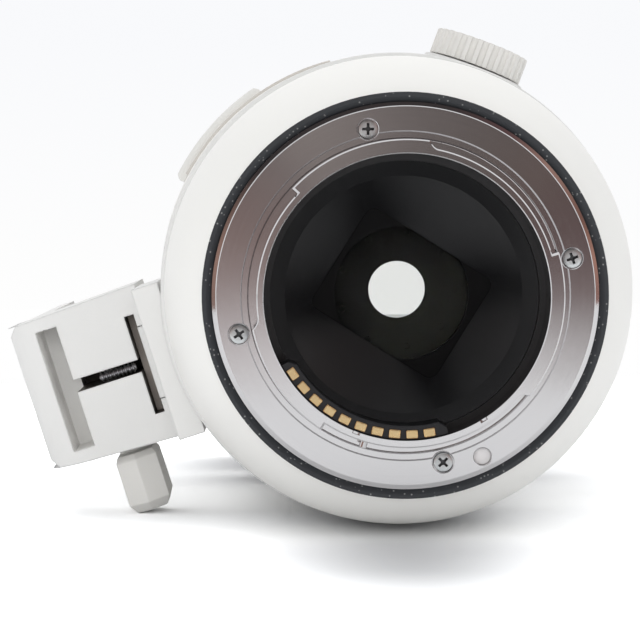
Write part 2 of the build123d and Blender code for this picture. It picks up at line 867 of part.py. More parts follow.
# Front head with the filter thread's bore inside and three hood lugs outside
filter_rear = head_front - filter_depth
with BuildPart() as front_head:
    tube(head_radius, front_tube_outer + fit_gap, head_rear, cell_rear - fit_gap)
    tube(head_radius, head_radius - head_wall, head_rear, head_front)
    rim_edges = front_head.edges().filter_by(GeomType.CIRCLE).group_by(Axis.Y)[-1]
    chamfer(rim_edges.sort_by(SortBy.RADIUS)[-1], head_bevel_width)
    tube(head_radius - head_wall, filter_radius, filter_rear, head_front)
    lug_front = filter_rear - hood_lug_depth
    for count in range(follower_count):
        middle_angle = count * 360 / follower_count
        sector(
            head_radius + hood_lug_height,
            head_radius - head_wall,
            (middle_angle - hood_lug_angle / 2, middle_angle + hood_lug_angle / 2),
            lug_front,
            lug_front + hood_lug_depth,
        )
save(front_head, "front_head")

# Trim ring that holds the front lens down in its cell
with BuildPart() as trim_ring:
    ring_inner = front_lens_radius - front_cell_wall / 2
    lip_rear = cell_front - front_cell_wall + run_gap
    tube(cell_outer, ring_inner, cell_front + fit_gap, filter_rear - fit_gap)
    tube(front_lens_radius, ring_inner, lip_rear, cell_front + fit_gap)
save(trim_ring, "trim_ring")

# Core housing: a tube for the rear lens and the iris, a flange, and board standoffs
core_tube_inner = core_tube_radius - core_tube_wall
standoff_angles = [standoff_angle + 360 / follower_count * count for count in range(follower_count)]
with BuildPart() as core_housing:
    tube(core_tube_radius, core_tube_inner, rear_cell_rear + core_tube_wall, core_flange_rear)
    tube(seat_bore - fit_gap, core_tube_inner - core_tube_wall, core_flange_rear, core_front)
    with BuildSketch(across(board_rear + board_depth)) as standoffs:
        for angle in standoff_angles:
            with PolarLocations(standoff_circle_radius, 1, start_angle=angle):
                Circle(standoff_radius)
    extrude(standoffs.sketch, amount=board_rear + board_depth - core_flange_rear)
save(core_housing, "core_housing")

with BuildPart() as main_board:
    tube(board_outer_radius, board_inner_radius, board_rear, board_rear + board_depth)
save(main_board, "main_board")

# Rear lens cell with its lens
rear_lens_rear = rear_cell_rear + rear_lens_crown_height + core_tube_wall
with BuildPart() as rear_cell:
    tube(
        core_tube_inner - fit_gap,
        rear_lens_radius + fit_gap,
        rear_cell_rear,
        rear_cell_rear + rear_cell_length,
    )
    tube(
        rear_lens_radius + fit_gap,
        rear_lens_radius - core_tube_wall,
        rear_cell_rear,
        rear_cell_rear + core_tube_wall / 2,
    )
save(rear_cell, "rear_cell")

with BuildPart() as rear_lens:
    lens(rear_lens_radius, rear_lens_edge_depth, rear_lens_crown_height, rear_lens_rear)
save(rear_lens, "rear_lens")

# Iris: blades between a base plate with pivot holes and a drive ring with slots
blade_rear = iris_rear + iris_base_depth + iris_blade_margin
blade_stack = iris_blades * iris_layer_depth
ring_rear = blade_rear + blade_stack + iris_blade_margin
ring_front = ring_rear + iris_ring_depth
iris_angles = [360 / iris_blades * count for count in range(iris_blades)]


def drive_pin_place(share):
    """Place of the first blade's drive pin in the drive ring, from open to stopped down."""
    swing = radians(iris_swing_angle * share)
    back = radians(-iris_ring_turn_angle * share)
    x = iris_pivot_circle_radius - iris_drive_reach_length * sin(swing)
    y = iris_drive_reach_length * cos(swing)
    return x * cos(back) - y * sin(back), x * sin(back) + y * cos(back)


with BuildPart() as iris_base:
    tube(core_tube_inner - fit_gap, iris_open_radius, iris_rear, iris_rear + iris_base_depth)
    with BuildSketch(across(iris_rear)) as pivots:
        with PolarLocations(iris_pivot_circle_radius, iris_blades):
            Circle(iris_pin_radius + pin_gap)
    extrude(pivots.sketch, amount=-iris_base_depth, mode=Mode.SUBTRACT)
save(iris_base, "iris_base")

with BuildPart() as iris_ring:
    tube(core_tube_inner - run_gap, iris_ring_bore_radius, ring_rear, ring_front)
    with BuildSketch(across(ring_rear)) as cam_slots:
        for angle in iris_angles:
            with BuildLine(mode=Mode.PRIVATE) as cam_path:
                ThreePointArc(drive_pin_place(0), drive_pin_place(1 / 2), drive_pin_place(1))
            with Locations(Location((0, 0, 0), (0, 0, angle))):
                SlotArc(cam_path.edge(), 2 * (iris_pin_radius + pin_gap))
    extrude(cam_slots.sketch, amount=-iris_ring_depth, mode=Mode.SUBTRACT)
save(iris_ring, "iris_ring")

with BuildPart() as iris_cover:
    tube(
        core_tube_inner - fit_gap,
        iris_ring_bore_radius,
        ring_front + run_gap,
        ring_front + run_gap + iris_cover_depth,
    )
save(iris_cover, "iris_cover")

for count, angle in enumerate(iris_angles, start=1):
    leaf_rear = blade_rear + (count - 1) * iris_layer_depth
    leaf_front = leaf_rear + iris_blade_depth
    inner_edge = iris_open_radius + iris_blade_margin
    with BuildPart() as blade:
        start, end = iris_blade_angles
        sector(inner_edge + iris_blade_width, inner_edge, (angle + start, angle + end), leaf_rear, leaf_front)
        side = radians(angle)
        turned = Plane(origin=(0, leaf_rear, 0), x_dir=(cos(side), 0, sin(side)), z_dir=(0, -1, 0))
        with BuildSketch(turned) as lobes:
            pin_out = iris_pivot_circle_radius
            with Locations((pin_out, 0), (pin_out, iris_drive_reach_length)):
                Circle(iris_lobe_radius)
            with Locations((iris_pivot_circle_radius, iris_drive_reach_length / 2)):
                Rectangle(2 * iris_lobe_radius, iris_drive_reach_length)
        extrude(lobes.sketch, amount=-iris_blade_depth)
        with BuildSketch(turned) as pivot_pin:
            with Locations((iris_pivot_circle_radius, 0)):
                Circle(iris_pin_radius)
        extrude(pivot_pin.sketch, amount=leaf_rear - iris_rear - iris_blade_margin)
        with BuildSketch(turned) as drive_pin:
            with Locations((iris_pivot_circle_radius, iris_drive_reach_length)):
                Circle(iris_pin_radius)
        extrude(drive_pin.sketch, amount=leaf_rear - ring_front)
    save(blade, f"iris_blade_{count}")

# Middle cell: fixed lens group in the rear end of the guide tube
with BuildPart() as middle_cell:
    tube(guide_inner - fit_gap, middle_lens_radius - core_tube_wall, guide_rear, guide_rear + core_tube_wall)
    tube(
        middle_lens_radius + core_tube_wall,
        middle_lens_radius + fit_gap,
        guide_rear + core_tube_wall,
        guide_rear + middle_cell_length,
    )
save(middle_cell, "middle_cell")

# Two guide rods and two motor magnets between the core flange and the middle cell
with BuildPart() as guide_rods:
    with BuildSketch(across(core_front)) as rods:
        with PolarLocations(rod_circle_radius, 2, start_angle=rod_angle):
            Circle(rod_radius)
    extrude(rods.sketch, amount=core_front - guide_rear)
save(guide_rods, "guide_rods")

with BuildPart() as focus_magnets:
    with BuildSketch(across(core_front)) as magnets:
        with PolarLocations(rod_circle_radius, 2, start_angle=magnet_angle):
            Rectangle(magnet_height, magnet_width)
    extrude(magnets.sketch, amount=core_front - guide_rear)
save(focus_magnets, "focus_magnets")

# Focus group: a carriage that runs on the rods, with a coil round each magnet
with BuildPart() as focus_carriage:
    focus_group_front = focus_group_rear + focus_group_length
    tube(focus_group_radius, focus_lens_radius + fit_gap, focus_group_rear, focus_group_rear + core_tube_wall)
    tube(
        focus_lens_radius + core_tube_wall,
        focus_lens_radius + fit_gap,
        focus_group_rear,
        focus_group_front,
    )
    with BuildSketch(across(focus_group_rear)) as sleeves:
        with PolarLocations(rod_circle_radius, 2, start_angle=rod_angle):
            Circle(rod_radius + coil_wall)
        with PolarLocations(rod_circle_radius, 2, start_angle=magnet_angle):
            Rectangle(
                magnet_height + 2 * (coil_wall + run_gap),
                magnet_width + 2 * (coil_wall + run_gap),
            )
    extrude(sleeves.sketch, amount=-focus_group_length)
    with BuildSketch(across(focus_group_rear)) as rod_holes:
        with PolarLocations(rod_circle_radius, 2, start_angle=rod_angle):
            Circle(rod_radius + pin_gap)
        with PolarLocations(rod_circle_radius, 2, start_angle=magnet_angle):
            Rectangle(magnet_height + 2 * run_gap, magnet_width + 2 * run_gap)
    extrude(rod_holes.sketch, amount=-focus_group_length, mode=Mode.SUBTRACT)
save(focus_carriage, "focus_carriage")

with BuildPart() as focus_lens:
    lens_rear = focus_group_rear + thin_lens_crown_height
    lens(focus_lens_radius, thin_lens_edge_depth, thin_lens_crown_height, lens_rear)
save(focus_lens, "focus_lens")

# Rear zoom group: a carriage in the guide tube, its followers and its lens
zoom_group_rear = rear_follower_depth - follower_radius - tube_margin / 2
zoom_group_front = zoom_group_rear + zoom_group_length
carriage_radius = guide_inner - run_gap
carriage_inner = carriage_radius - zoom_group_wall
zoom_lens_rear = zoom_group_front - core_tube_wall - thin_lens_edge_depth - thin_lens_crown_height / 2
with BuildPart() as zoom_carriage:
    tube(carriage_radius, carriage_inner, zoom_group_rear, zoom_group_front)
    carriage_lip = zoom_group_front - core_tube_wall
    tube(carriage_inner, zoom_lens_radius - core_tube_wall, carriage_lip, zoom_group_front)
    tube(
        zoom_lens_radius + core_tube_wall,
        zoom_lens_radius + fit_gap,
        zoom_lens_rear - core_tube_wall,
        zoom_group_front - core_tube_wall,
    )
    for angle in follower_angles:
        with BuildSketch(out_of(angle, carriage_inner - cut_over_length, rear_follower_depth)) as hole:
            Circle(follower_radius + fit_gap)
        extrude(hole.sketch, amount=zoom_group_wall + 2 * cut_over_length, mode=Mode.SUBTRACT)
save(zoom_carriage, "zoom_carriage")

with BuildPart() as zoom_followers:
    for angle in follower_angles:
        with BuildSketch(out_of(angle, carriage_inner, rear_follower_depth)) as roller:
            Circle(follower_radius)
        extrude(roller.sketch, amount=cam_outer - carriage_inner - fit_gap)
save(zoom_followers, "zoom_followers")

with BuildPart() as zoom_lens:
    lens(zoom_lens_radius, thin_lens_edge_depth, thin_lens_crown_height / 2, zoom_lens_rear)
save(zoom_lens, "zoom_lens")


def foot_plane(depth):
    """Plane square to the axis, with x outwards along the foot and y across it."""
    side = radians(foot_angle)
    return Plane(origin=(0, depth, 0), x_dir=(cos(side), 0, sin(side)), z_dir=(0, -1, 0))


def across_foot(depth, height, offset):
    """Plane that looks across the foot, with x along the axis, at a height off the axis."""
    side = radians(foot_angle)
    out = Vector(cos(side), 0, sin(side))
    over = Vector(-sin(side), 0, cos(side))
    place = out * height + over * offset + Vector(0, depth, 0)
    return Plane(origin=place, x_dir=(0, 1, 0), z_dir=over)


def foot_bar(low, high, width, rear, front, mode=Mode.ADD, top_width=None):
    """Bar along the axis on the foot's centre line, between two heights; it may taper."""
    low_half = width / 2
    high_half = (top_width or width) / 2
    with BuildSketch(foot_plane(rear)) as section:
        Polygon((low, -low_half), (high, -high_half), (high, high_half), (low, low_half), align=None)
    extrude(section.sketch, amount=rear - front, mode=mode)


# Tripod collar: ring, foot pedestal with its T rail, and the boss of the lock knob
rail_front = foot_rear + rail_length
neck_top = rail_seat_height + rail_neck_height
head_top = neck_top + rail_head_height
lock_place = (collar_rear + collar_front) / 2
boss_top = collar_outer + lock_boss_height
with BuildPart() as tripod_collar:
    tube(collar_outer, collar_inner, collar_rear, collar_front)
    rim_edges = tripod_collar.edges().filter_by(GeomType.CIRCLE).sort_by(SortBy.RADIUS)[-2:]
    chamfer(rim_edges, collar_bevel_width)
    foot_bar(collar_inner, rail_seat_height, pedestal_width, collar_rear + collar_wall, collar_front)
    foot_bar(rail_seat_height - collar_wall, neck_top, rail_neck_width, foot_rear, collar_front)
    foot_bar(rail_seat_height, neck_top, rail_neck_width, foot_rear, rail_front)
    foot_bar(neck_top, head_top, rail_head_width, foot_rear + rail_head_recess_depth, rail_front)
    foot_bar(
        neck_top,
        head_top,
        pedestal_width - 2 * rail_stop_length,
        rail_front,
        rail_front + rail_stop_length / 2,
    )
    with BuildSketch(out_of(collar_lock_angle, collar_inner, lock_place)) as boss:
        Circle(lock_boss_radius)
    extrude(boss.sketch, amount=boss_top - collar_inner)
    tube(collar_inner, 0, collar_rear, collar_front, mode=Mode.SUBTRACT)
    with BuildSketch(out_of(collar_lock_angle, collar_inner - cut_over_length, lock_place)) as stem_hole:
        Circle(lock_stem_radius + pin_gap)
    extrude(stem_hole.sketch, amount=boss_top, mode=Mode.SUBTRACT)
save(tripod_collar, "tripod_collar")

# Collar lock knob with its threaded stem
with BuildPart() as collar_knob:
    with BuildSketch(out_of(collar_lock_angle, boss_top + run_gap, lock_place)) as knob:
        Circle(lock_knob_radius)
        with PolarLocations(lock_knob_radius, lock_knob_ribs):
            Circle(lock_knob_rib_radius, mode=Mode.SUBTRACT)
    extrude(knob.sketch, amount=lock_knob_height)
    with BuildSketch(out_of(collar_lock_angle, seat_radius + run_gap, lock_place)) as stem:
        Circle(lock_stem_radius)
    extrude(stem.sketch, amount=boss_top - seat_radius)
save(collar_knob, "collar_knob")

# Quick-release foot: clamp block with its T slot, slits and hinge slot, and the sole
jaw_seat = rail_seat_height + jaw_gap
sole_inner = clamp_slit_end_height + hinge_slot_height
clamp_place = (foot_rear + rail_front) / 2
sole_middle = foot_rear + foot_length * sole_middle_share
with BuildPart() as tripod_foot:
    foot_bar(jaw_seat, foot_sole_height, foot_width, foot_rear, rail_front, top_width=foot_sole_width)
    foot_bar(sole_inner, foot_sole_height, foot_sole_width, foot_rear, foot_rear + foot_length)
    outwards = out_of(foot_angle, 0, 0)
    crosswise = tripod_foot.edges().filter_by(Axis((0, 0, 0), outwards.y_dir))
    sole_edges = crosswise.group_by(Axis((0, 0, 0), outwards.z_dir))[-1].sort_by(Axis.Y)
    fillet(sole_edges[-1], foot_toe_radius)
    fillet(sole_edges[0], foot_heel_radius)
    with BuildSketch(foot_plane(foot_rear)) as long_edges:
        for side in (-1, 1):
            corner = side * foot_sole_width / 2
            Polygon(
                (foot_sole_height, corner),
                (foot_sole_height, corner - side * foot_edge_width),
                (foot_sole_height - foot_edge_width, corner),
                align=None,
            )
    extrude(long_edges.sketch, amount=-foot_length, mode=Mode.SUBTRACT)
    foot_bar(
        jaw_seat,
        neck_top,
        rail_neck_width + 2 * rail_gap,
        foot_rear,
        rail_front,
        mode=Mode.SUBTRACT,
    )
    foot_bar(
        neck_top - rail_gap,
        head_top + rail_gap,
        rail_head_width + 2 * rail_gap,
        foot_rear,
        rail_front,
        mode=Mode.SUBTRACT,
    )
    slit_front = foot_rear + clamp_slit_depth
    foot_bar(head_top, clamp_slit_end_height, clamp_slit_width, foot_rear, slit_front, mode=Mode.SUBTRACT)
    foot_bar(
        clamp_slit_end_height,
        sole_inner,
        hinge_slot_width,
        foot_rear,
        clamp_place,
        mode=Mode.SUBTRACT,
    )
    bolt_start = rail_neck_height - foot_width / 2
    with BuildSketch(across_foot(clamp_place, clamp_axis_height, bolt_start)) as bolt_hole:
        Circle(clamp_screw_radius + pin_gap)
    extrude(bolt_hole.sketch, amount=foot_width, mode=Mode.SUBTRACT)
    for place, radius in (
        (sole_middle - socket_spacing_length / 2, small_socket_radius),
        (sole_middle + socket_spacing_length / 2, large_socket_radius),
    ):
        with BuildSketch(out_of(foot_angle, foot_sole_height, place)) as socket:
            Circle(radius)
        extrude(socket.sketch, amount=-socket_depth, mode=Mode.SUBTRACT)
save(tripod_foot, "tripod_foot")

# Clamp knob of the foot: a long six-sided head close to the block, pressed on its screw
with BuildPart() as clamp_knob:
    neck_start = foot_width / 2 + run_gap
    with BuildSketch(across_foot(clamp_place, clamp_axis_height, bolt_start)) as screw:
        Circle(clamp_screw_radius)
    extrude(screw.sketch, amount=neck_start - bolt_start)
    with BuildSketch(across_foot(clamp_place, clamp_axis_height, neck_start)) as neck:
        Circle(clamp_knob_neck_radius)
    extrude(neck.sketch, amount=clamp_knob_neck_height)
    head_sections = []
    for rise_share, size_share in clamp_knob_shares:
        place = neck_start + clamp_knob_neck_height + clamp_knob_height * rise_share
        half_length = clamp_knob_length / 2 * size_share
        half_width = clamp_knob_width / 2 * size_share
        shoulder = half_length - half_width / 2
        with BuildSketch(across_foot(clamp_place, clamp_axis_height, place)) as section:
            Polygon(
                (half_length, 0),
                (shoulder, half_width),
                (-shoulder, half_width),
                (-half_length, 0),
                (-shoulder, -half_width),
                (shoulder, -half_width),
                align=None,
            )
        head_sections.append(section.sketch)
    loft(head_sections, ruled=True)
save(clamp_knob, "clamp_knob")
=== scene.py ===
import json
import math

import bmesh
import bpy
from mathutils import Matrix, Vector


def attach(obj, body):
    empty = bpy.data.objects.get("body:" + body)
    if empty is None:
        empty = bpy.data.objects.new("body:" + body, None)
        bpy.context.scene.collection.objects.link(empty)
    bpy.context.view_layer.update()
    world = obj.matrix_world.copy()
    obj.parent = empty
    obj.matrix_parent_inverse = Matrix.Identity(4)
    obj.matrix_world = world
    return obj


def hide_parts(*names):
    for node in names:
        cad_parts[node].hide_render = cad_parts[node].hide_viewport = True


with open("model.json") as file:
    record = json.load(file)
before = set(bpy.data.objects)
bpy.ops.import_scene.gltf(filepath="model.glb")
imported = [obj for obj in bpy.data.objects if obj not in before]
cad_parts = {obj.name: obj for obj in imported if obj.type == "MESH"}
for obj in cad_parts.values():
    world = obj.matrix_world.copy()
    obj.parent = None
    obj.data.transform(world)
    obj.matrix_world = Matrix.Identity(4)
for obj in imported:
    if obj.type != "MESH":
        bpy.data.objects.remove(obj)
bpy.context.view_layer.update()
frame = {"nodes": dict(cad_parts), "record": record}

# Camera zoom lens seen from its mount, lying on its side on a pale table. The scene is in metres
# and the sizes written here are in millimetres, except for the lamps, the table and the textures.
# The optical axis is Y, the mount flange lies at the origin and faces -Y, and angles run from
# +X to +Z.

MM = 0.001
WHITE = (1.0, 1.0, 1.0)
nodes = frame["nodes"]
body_of_node = {n: body for body, names in frame["record"]["behaviour"]["bodies"].items() for n in names}
slot_of_node = {row["node"]: row["material_slot"] for row in frame["record"]["subparts"]}


# ---------------------------------------------------------------- camera
CAMERA_PLACE = Vector((-19.6, -350.0, 15.0)) * MM
CAMERA_AIM = Vector((0.0183, 1.0, -0.0532))
SENSOR_WIDTH = 36.0
FOCAL_LENGTH = 128.3

camera_data = bpy.data.cameras.new("camera")
camera_data.sensor_width = SENSOR_WIDTH
camera_data.lens = FOCAL_LENGTH
camera_data.clip_start = 0.01
camera_data.clip_end = 20.0
camera = bpy.data.objects.new("camera", camera_data)
bpy.context.scene.collection.objects.link(camera)
camera.location = CAMERA_PLACE
camera.rotation_euler = CAMERA_AIM.to_track_quat("-Z", "Y").to_euler()
bpy.context.scene.camera = camera
bpy.context.scene.view_settings.view_transform = "Standard"


# ---------------------------------------------------------------- node helpers
class Graph:
    """A material's or world's node tree, with short calls to add and join nodes."""

    def __init__(self, owner):
        owner.use_nodes = True
        self.tree = owner.node_tree
        self.tree.nodes.clear()

    def add(self, kind, **inputs):
        """Node of that kind. _name sets a property, i0 is the first input, and Base_Color is one
        by its name; an input takes a value, or a socket to link from."""
        node = self.tree.nodes.new(kind)
        for key, value in inputs.items():
            if key.startswith("_"):
                setattr(node, key[1:], value)
                continue
            socket = node.inputs[int(key[1:]) if key[1:].isdigit() else key.replace("_", " ")]
            if isinstance(value, bpy.types.NodeSocket):
                self.tree.links.new(value, socket)
            else:
                socket.default_value = value
        return node

    def math(self, how, a, b=0.0, c=0.0):
        """Result of a maths node, of one to three values or sockets."""
        return self.add("ShaderNodeMath", _operation=how, i0=a, i1=b, i2=c).outputs[0]

    def place(self):
        """Object coordinates, in metres."""
        return self.add("ShaderNodeTexCoord").outputs["Object"]

    def noise(self, scale, detail=2.0, rough=0.5, vector=None, dims="3D"):
        """Noise between 0 and 1, over the object's coordinates unless others are given."""
        node = self.add("ShaderNodeTexNoise", _noise_dimensions=dims, Scale=scale, Detail=detail,
                        Roughness=rough)
        self.tree.links.new(vector or self.place(), node.inputs["W" if dims == "1D" else "Vector"])
        return node.outputs[0]

    def ramp(self, value, *stops, kind="LINEAR"):
        """Colour ramp; a stop is (position, colour or grey)."""
        node = self.add("ShaderNodeValToRGB", Fac=value)
        ramp = node.color_ramp
        ramp.interpolation = kind
        while len(ramp.elements) < len(stops):
            ramp.elements.new(0.5)
        for element, (position, colour) in zip(ramp.elements, stops):
            element.position = position
            element.color = (*colour, 1.0) if isinstance(colour, tuple) else (colour, colour, colour, 1.0)
        return node.outputs[0]

    def mix(self, share, a, b, how="MIX"):
        """Colour b laid over colour a, in that share and way."""
        node = self.add("ShaderNodeMix", _data_type="RGBA", _blend_type=how)
        for socket, value in ((node.inputs[0], share), (node.inputs[6], a), (node.inputs[7], b)):
            if isinstance(value, bpy.types.NodeSocket):
                self.tree.links.new(value, socket)
            else:
                socket.default_value = (*value, 1.0) if isinstance(value, tuple) else value
        return node.outputs[2]

    def bump(self, height, strength, distance):
        """Normal of a surface raised by that height."""
        return self.add("ShaderNodeBump", Height=height, Strength=strength, Distance=distance).outputs[0]

    def split(self, vector):
        """The three parts of a vector."""
        return self.add("ShaderNodeSeparateXYZ", Vector=vector).outputs

    def hypotenuse(self, a, b):
        """Length of the vector (a, b)."""
        return self.math("SQRT", self.math("ADD", self.math("MULTIPLY", a, a), self.math("MULTIPLY", b, b)))

    def radius(self):
        """Distance from the optical axis, in metres."""
        x, _, z = self.split(self.place())
        return self.hypotenuse(x, z)


def material(name):
    """New material, and its empty graph."""
    mat = bpy.data.materials.new(name)
    return mat, Graph(mat)


def finish(graph, **inputs):
    """Principled surface from the given inputs."""
    surface = graph.add("ShaderNodeBsdfPrincipled", **inputs)
    graph.add("ShaderNodeOutputMaterial", Surface=surface.outputs[0])


def dim(colour, share):
    """The colour, darkened to a share of its brightness."""
    return tuple(part * share for part in colour)


# ---------------------------------------------------------------- mesh helpers
SAME_POINT = 1e-7      # metres within which points of a shape made here are one
CAD_SEAM = 1.5e-6      # the same for the faces of a CAD node
FACET_ANGLE = 0.6      # degrees below which two faces count as one


def polar(radius, angle, depth):
    """Point at a radius, an angle and a depth, all in millimetres and degrees."""
    side = math.radians(angle)
    return Vector((radius * math.cos(side), depth, radius * math.sin(side))) * MM


def frame_at(radius, angle, depth):
    """Matrix whose z points outwards and whose x runs along the optical axis."""
    out = polar(1.0, angle, 0.0).normalized()
    along = Vector((0.0, 1.0, 0.0))
    across = out.cross(along)
    basis = Matrix((along, across, out)).transposed().to_4x4()
    return Matrix.Translation(polar(radius, angle, depth)) @ basis


def facing_back(radius, angle, depth, turn=0.0):
    """Matrix whose z points to the camera side, at a radius, an angle and a depth."""
    return (Matrix.Translation(polar(radius, angle, depth)) @ Matrix.Rotation(math.radians(90.0), 4, "X")
            @ Matrix.Rotation(math.radians(turn), 4, "Z"))


def sweep(sections):
    """Closed solid through a ring of sections, each a list of points."""
    bm = bmesh.new()
    rings = [[bm.verts.new(point) for point in section] for section in sections]
    count = len(rings[0])
    for k, here in enumerate(rings):
        there = rings[(k + 1) % len(rings)]
        for i in range(count):
            j = (i + 1) % count
            bm.faces.new((here[i], here[j], there[j], there[i]))
    bmesh.ops.remove_doubles(bm, verts=bm.verts, dist=SAME_POINT)
    return bm


def lathe(profile, steps=240):
    """Closed profile of (radius, depth) in millimetres, turned round the optical axis."""
    return sweep([[polar(r, 360.0 * k / steps, y) for r, y in profile] for k in range(steps)])


def turned(profile, base, steps=48):
    """Profile of (radius, height) in millimetres, turned round the z of a matrix; its ends are closed."""
    bm = bmesh.new()
    rings = []
    for k in range(steps):
        side = 2.0 * math.pi * k / steps
        rings.append([bm.verts.new(base @ (Vector((r * math.cos(side), r * math.sin(side), h)) * MM))
                      for r, h in profile])
    for k, here in enumerate(rings):
        there = rings[(k + 1) % steps]
        for i in range(len(profile) - 1):
            bm.faces.new((here[i], here[i + 1], there[i + 1], there[i]))
    for end in (0, -1):
        if profile[end][0] > 0.0:
            bm.faces.new([ring[end] for ring in rings])
    bmesh.ops.remove_doubles(bm, verts=bm.verts, dist=SAME_POINT)
    return bm


def ring_on(profile, base, steps):
    """Closed profile of (radius, height) in millimetres, turned round the z of a matrix."""
    sides = [k * 2.0 * math.pi / steps for k in range(steps)]
    return sweep([[base @ (Vector((r * math.cos(side), r * math.sin(side), h)) * MM) for r, h in profile]
                  for side in sides])


def prism(outline, low, high, base, low_scale=1.0, high_scale=1.0):
    """Outline of (x, y) in millimetres, raised between two heights on a matrix."""
    bm = bmesh.new()
    bottom = [bm.verts.new(base @ (Vector((x * low_scale, y * low_scale, low)) * MM)) for x, y in outline]
    top = [bm.verts.new(base @ (Vector((x * high_scale, y * high_scale, high)) * MM)) for x, y in outline]
    bm.faces.new(bottom[::-1])
    bm.faces.new(top)
    for i in range(len(outline)):
        j = (i + 1) % len(outline)
        bm.faces.new((bottom[i], bottom[j], top[j], top[i]))
    return bm


def rounded(width, height, radius, steps=5):
    """Outline of a rounded rectangle."""
    points = []
    for cx, cy, start in ((1, 1, 0), (-1, 1, 90), (-1, -1, 180), (1, -1, 270)):
        for k in range(steps + 1):
            side = math.radians(start + 90.0 * k / steps)
            points.append((cx * (width / 2 - radius) + radius * math.cos(side),
                           cy * (height / 2 - radius) + radius * math.sin(side)))
    return points


def join(*parts):
    """One bmesh out of several."""
    whole = parts[0]
    for part in parts[1:]:
        mesh = bpy.data.meshes.new("part")
        part.to_mesh(mesh)
        part.free()
        whole.from_mesh(mesh)
        bpy.data.meshes.remove(mesh)
    return whole


def new_object(name, data):
    """Object with that data, linked to the scene."""
    thing = bpy.data.objects.new(name, data)
    bpy.context.scene.collection.objects.link(thing)
    return thing


def stand(name, bm):
    """Object from a bmesh, with its normals outwards."""
    bmesh.ops.recalc_face_normals(bm, faces=bm.faces)
    mesh = bpy.data.meshes.new(name)
    bm.to_mesh(mesh)
    bm.free()
    return new_object(name, mesh)


def settle(thing):
    """Apply the object's modifiers to its mesh."""
    graph = bpy.context.evaluated_depsgraph_get()
    mesh = bpy.data.meshes.new_from_object(thing.evaluated_get(graph))
    thing.modifiers.clear()
    thing.data = mesh


def cut(thing, cutter):
    """Take a bmesh out of the object."""
    tool = stand("cutter", cutter)
    step = thing.modifiers.new("cut", "BOOLEAN")
    step.operation = "DIFFERENCE"
    step.solver = "EXACT"
    step.object = tool
    settle(thing)
    bpy.data.objects.remove(tool)


def smooth(thing, angle=33.0, width=0.0, segments=2):
    """Round the sharp edges by a width in millimetres, and shade smooth up to an angle."""
    if width:
        step = thing.modifiers.new("round", "BEVEL")
        step.width = width * MM
        step.segments = segments
        step.limit_method = "ANGLE"
        step.angle_limit = math.radians(angle)
        step.use_clamp_overlap = False
        step.harden_normals = False
        settle(thing)
    mesh = thing.data
    bm = bmesh.new()
    bm.from_mesh(mesh)
    for face in bm.faces:
        face.smooth = True
    for edge in bm.edges:
        edge.smooth = len(edge.link_faces) == 2 and edge.calc_face_angle(0.0) < math.radians(angle)
    bm.to_mesh(mesh)
    bm.free()
    step = thing.modifiers.new("even", "WEIGHTED_NORMAL")
    step.keep_sharp = True
    step.weight = 90
    settle(thing)


def place(thing, body, mat, slot, *replaced):
    """Finish an object, and say what it rides on and the CAD nodes that it stands for; the slot is not used."""
    thing.data.materials.clear()
    thing.data.materials.append(mat)
    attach(thing, body)
    if replaced:
        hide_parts(*replaced)
    return thing


def refine(name, mat, width=0.12, angle=33.0, segments=2, merge=True):
    """Copy of a CAD node with its facets merged and its sharp edges rounded."""
    mesh = nodes[name].data.copy()
    bm = bmesh.new()
    bm.from_mesh(mesh)
    bmesh.ops.remove_doubles(bm, verts=bm.verts, dist=CAD_SEAM)
    if merge:
        bmesh.ops.dissolve_limit(bm, angle_limit=math.radians(FACET_ANGLE), verts=bm.verts, edges=bm.edges)
    bm.to_mesh(mesh)
    bm.free()
    thing = new_object(f"{name}_fine", mesh)
    smooth(thing, angle, width, segments)
    return place(thing, body_of_node[name], mat, slot_of_node[name], name)


def repaint(thing, mat, chosen):
    """Another material on the faces that a test picks."""
    thing.data.materials.append(mat)
    for face in thing.data.polygons:
        if chosen(face):
            face.material_index = len(thing.data.materials) - 1


def line_bore(thing, mat):
    """Dark finish on the faces that look towards the axis."""
    def inward(face):
        out = Vector((face.center.x, 0.0, face.center.z))
        return face.normal.dot(out) < -0.3 * out.length
    repaint(thing, mat, inward)


# ---------------------------------------------------------------- materials
def paint(name, colour, rough=0.42, grain=0.35, edge=0.0):
    """Baked enamel on metal: fine orange peel, slightly uneven gloss and tone."""
    mat, g = material(name)
    base = g.mix(g.noise(22.0, 3.0), dim(colour, 0.965), colour)
    peel = g.noise(2600.0, 2.0)
    gloss = g.math("MULTIPLY_ADD", g.noise(160.0, 3.0), 0.12, rough - 0.06)
    skin = g.add("ShaderNodeBump", Height=peel, Strength=grain, Distance=0.00006)
    if edge:
        soft = g.add("ShaderNodeBevel", _samples=4, Radius=edge * MM)
        g.tree.links.new(soft.outputs[0], skin.inputs["Normal"])
    finish(g, Base_Color=base, Roughness=gloss, Normal=skin.outputs[0])
    return mat


def chrome(name, colour, rough):
    """Plated, lathe-turned metal: fine rings round the axis and faint handling marks."""
    mat, g = material(name)
    radius = g.radius()
    rings = g.noise(30000.0, 3.0, 0.7, vector=radius, dims="1D")
    bands = g.noise(2600.0, 3.0, 0.7, vector=radius, dims="1D")
    marks = g.noise(90.0, 4.0, 0.6)
    base = g.mix(marks, dim(colour, 0.95), colour)
    base = g.mix(g.math("MULTIPLY", bands, 0.5), base, dim(colour, 0.88))
    gloss = g.math("MULTIPLY_ADD", marks, 0.05, rough)
    finish(g, Base_Color=base, Metallic=1.0, Roughness=gloss, Normal=g.bump(rings, 0.2, 0.000006))
    return mat


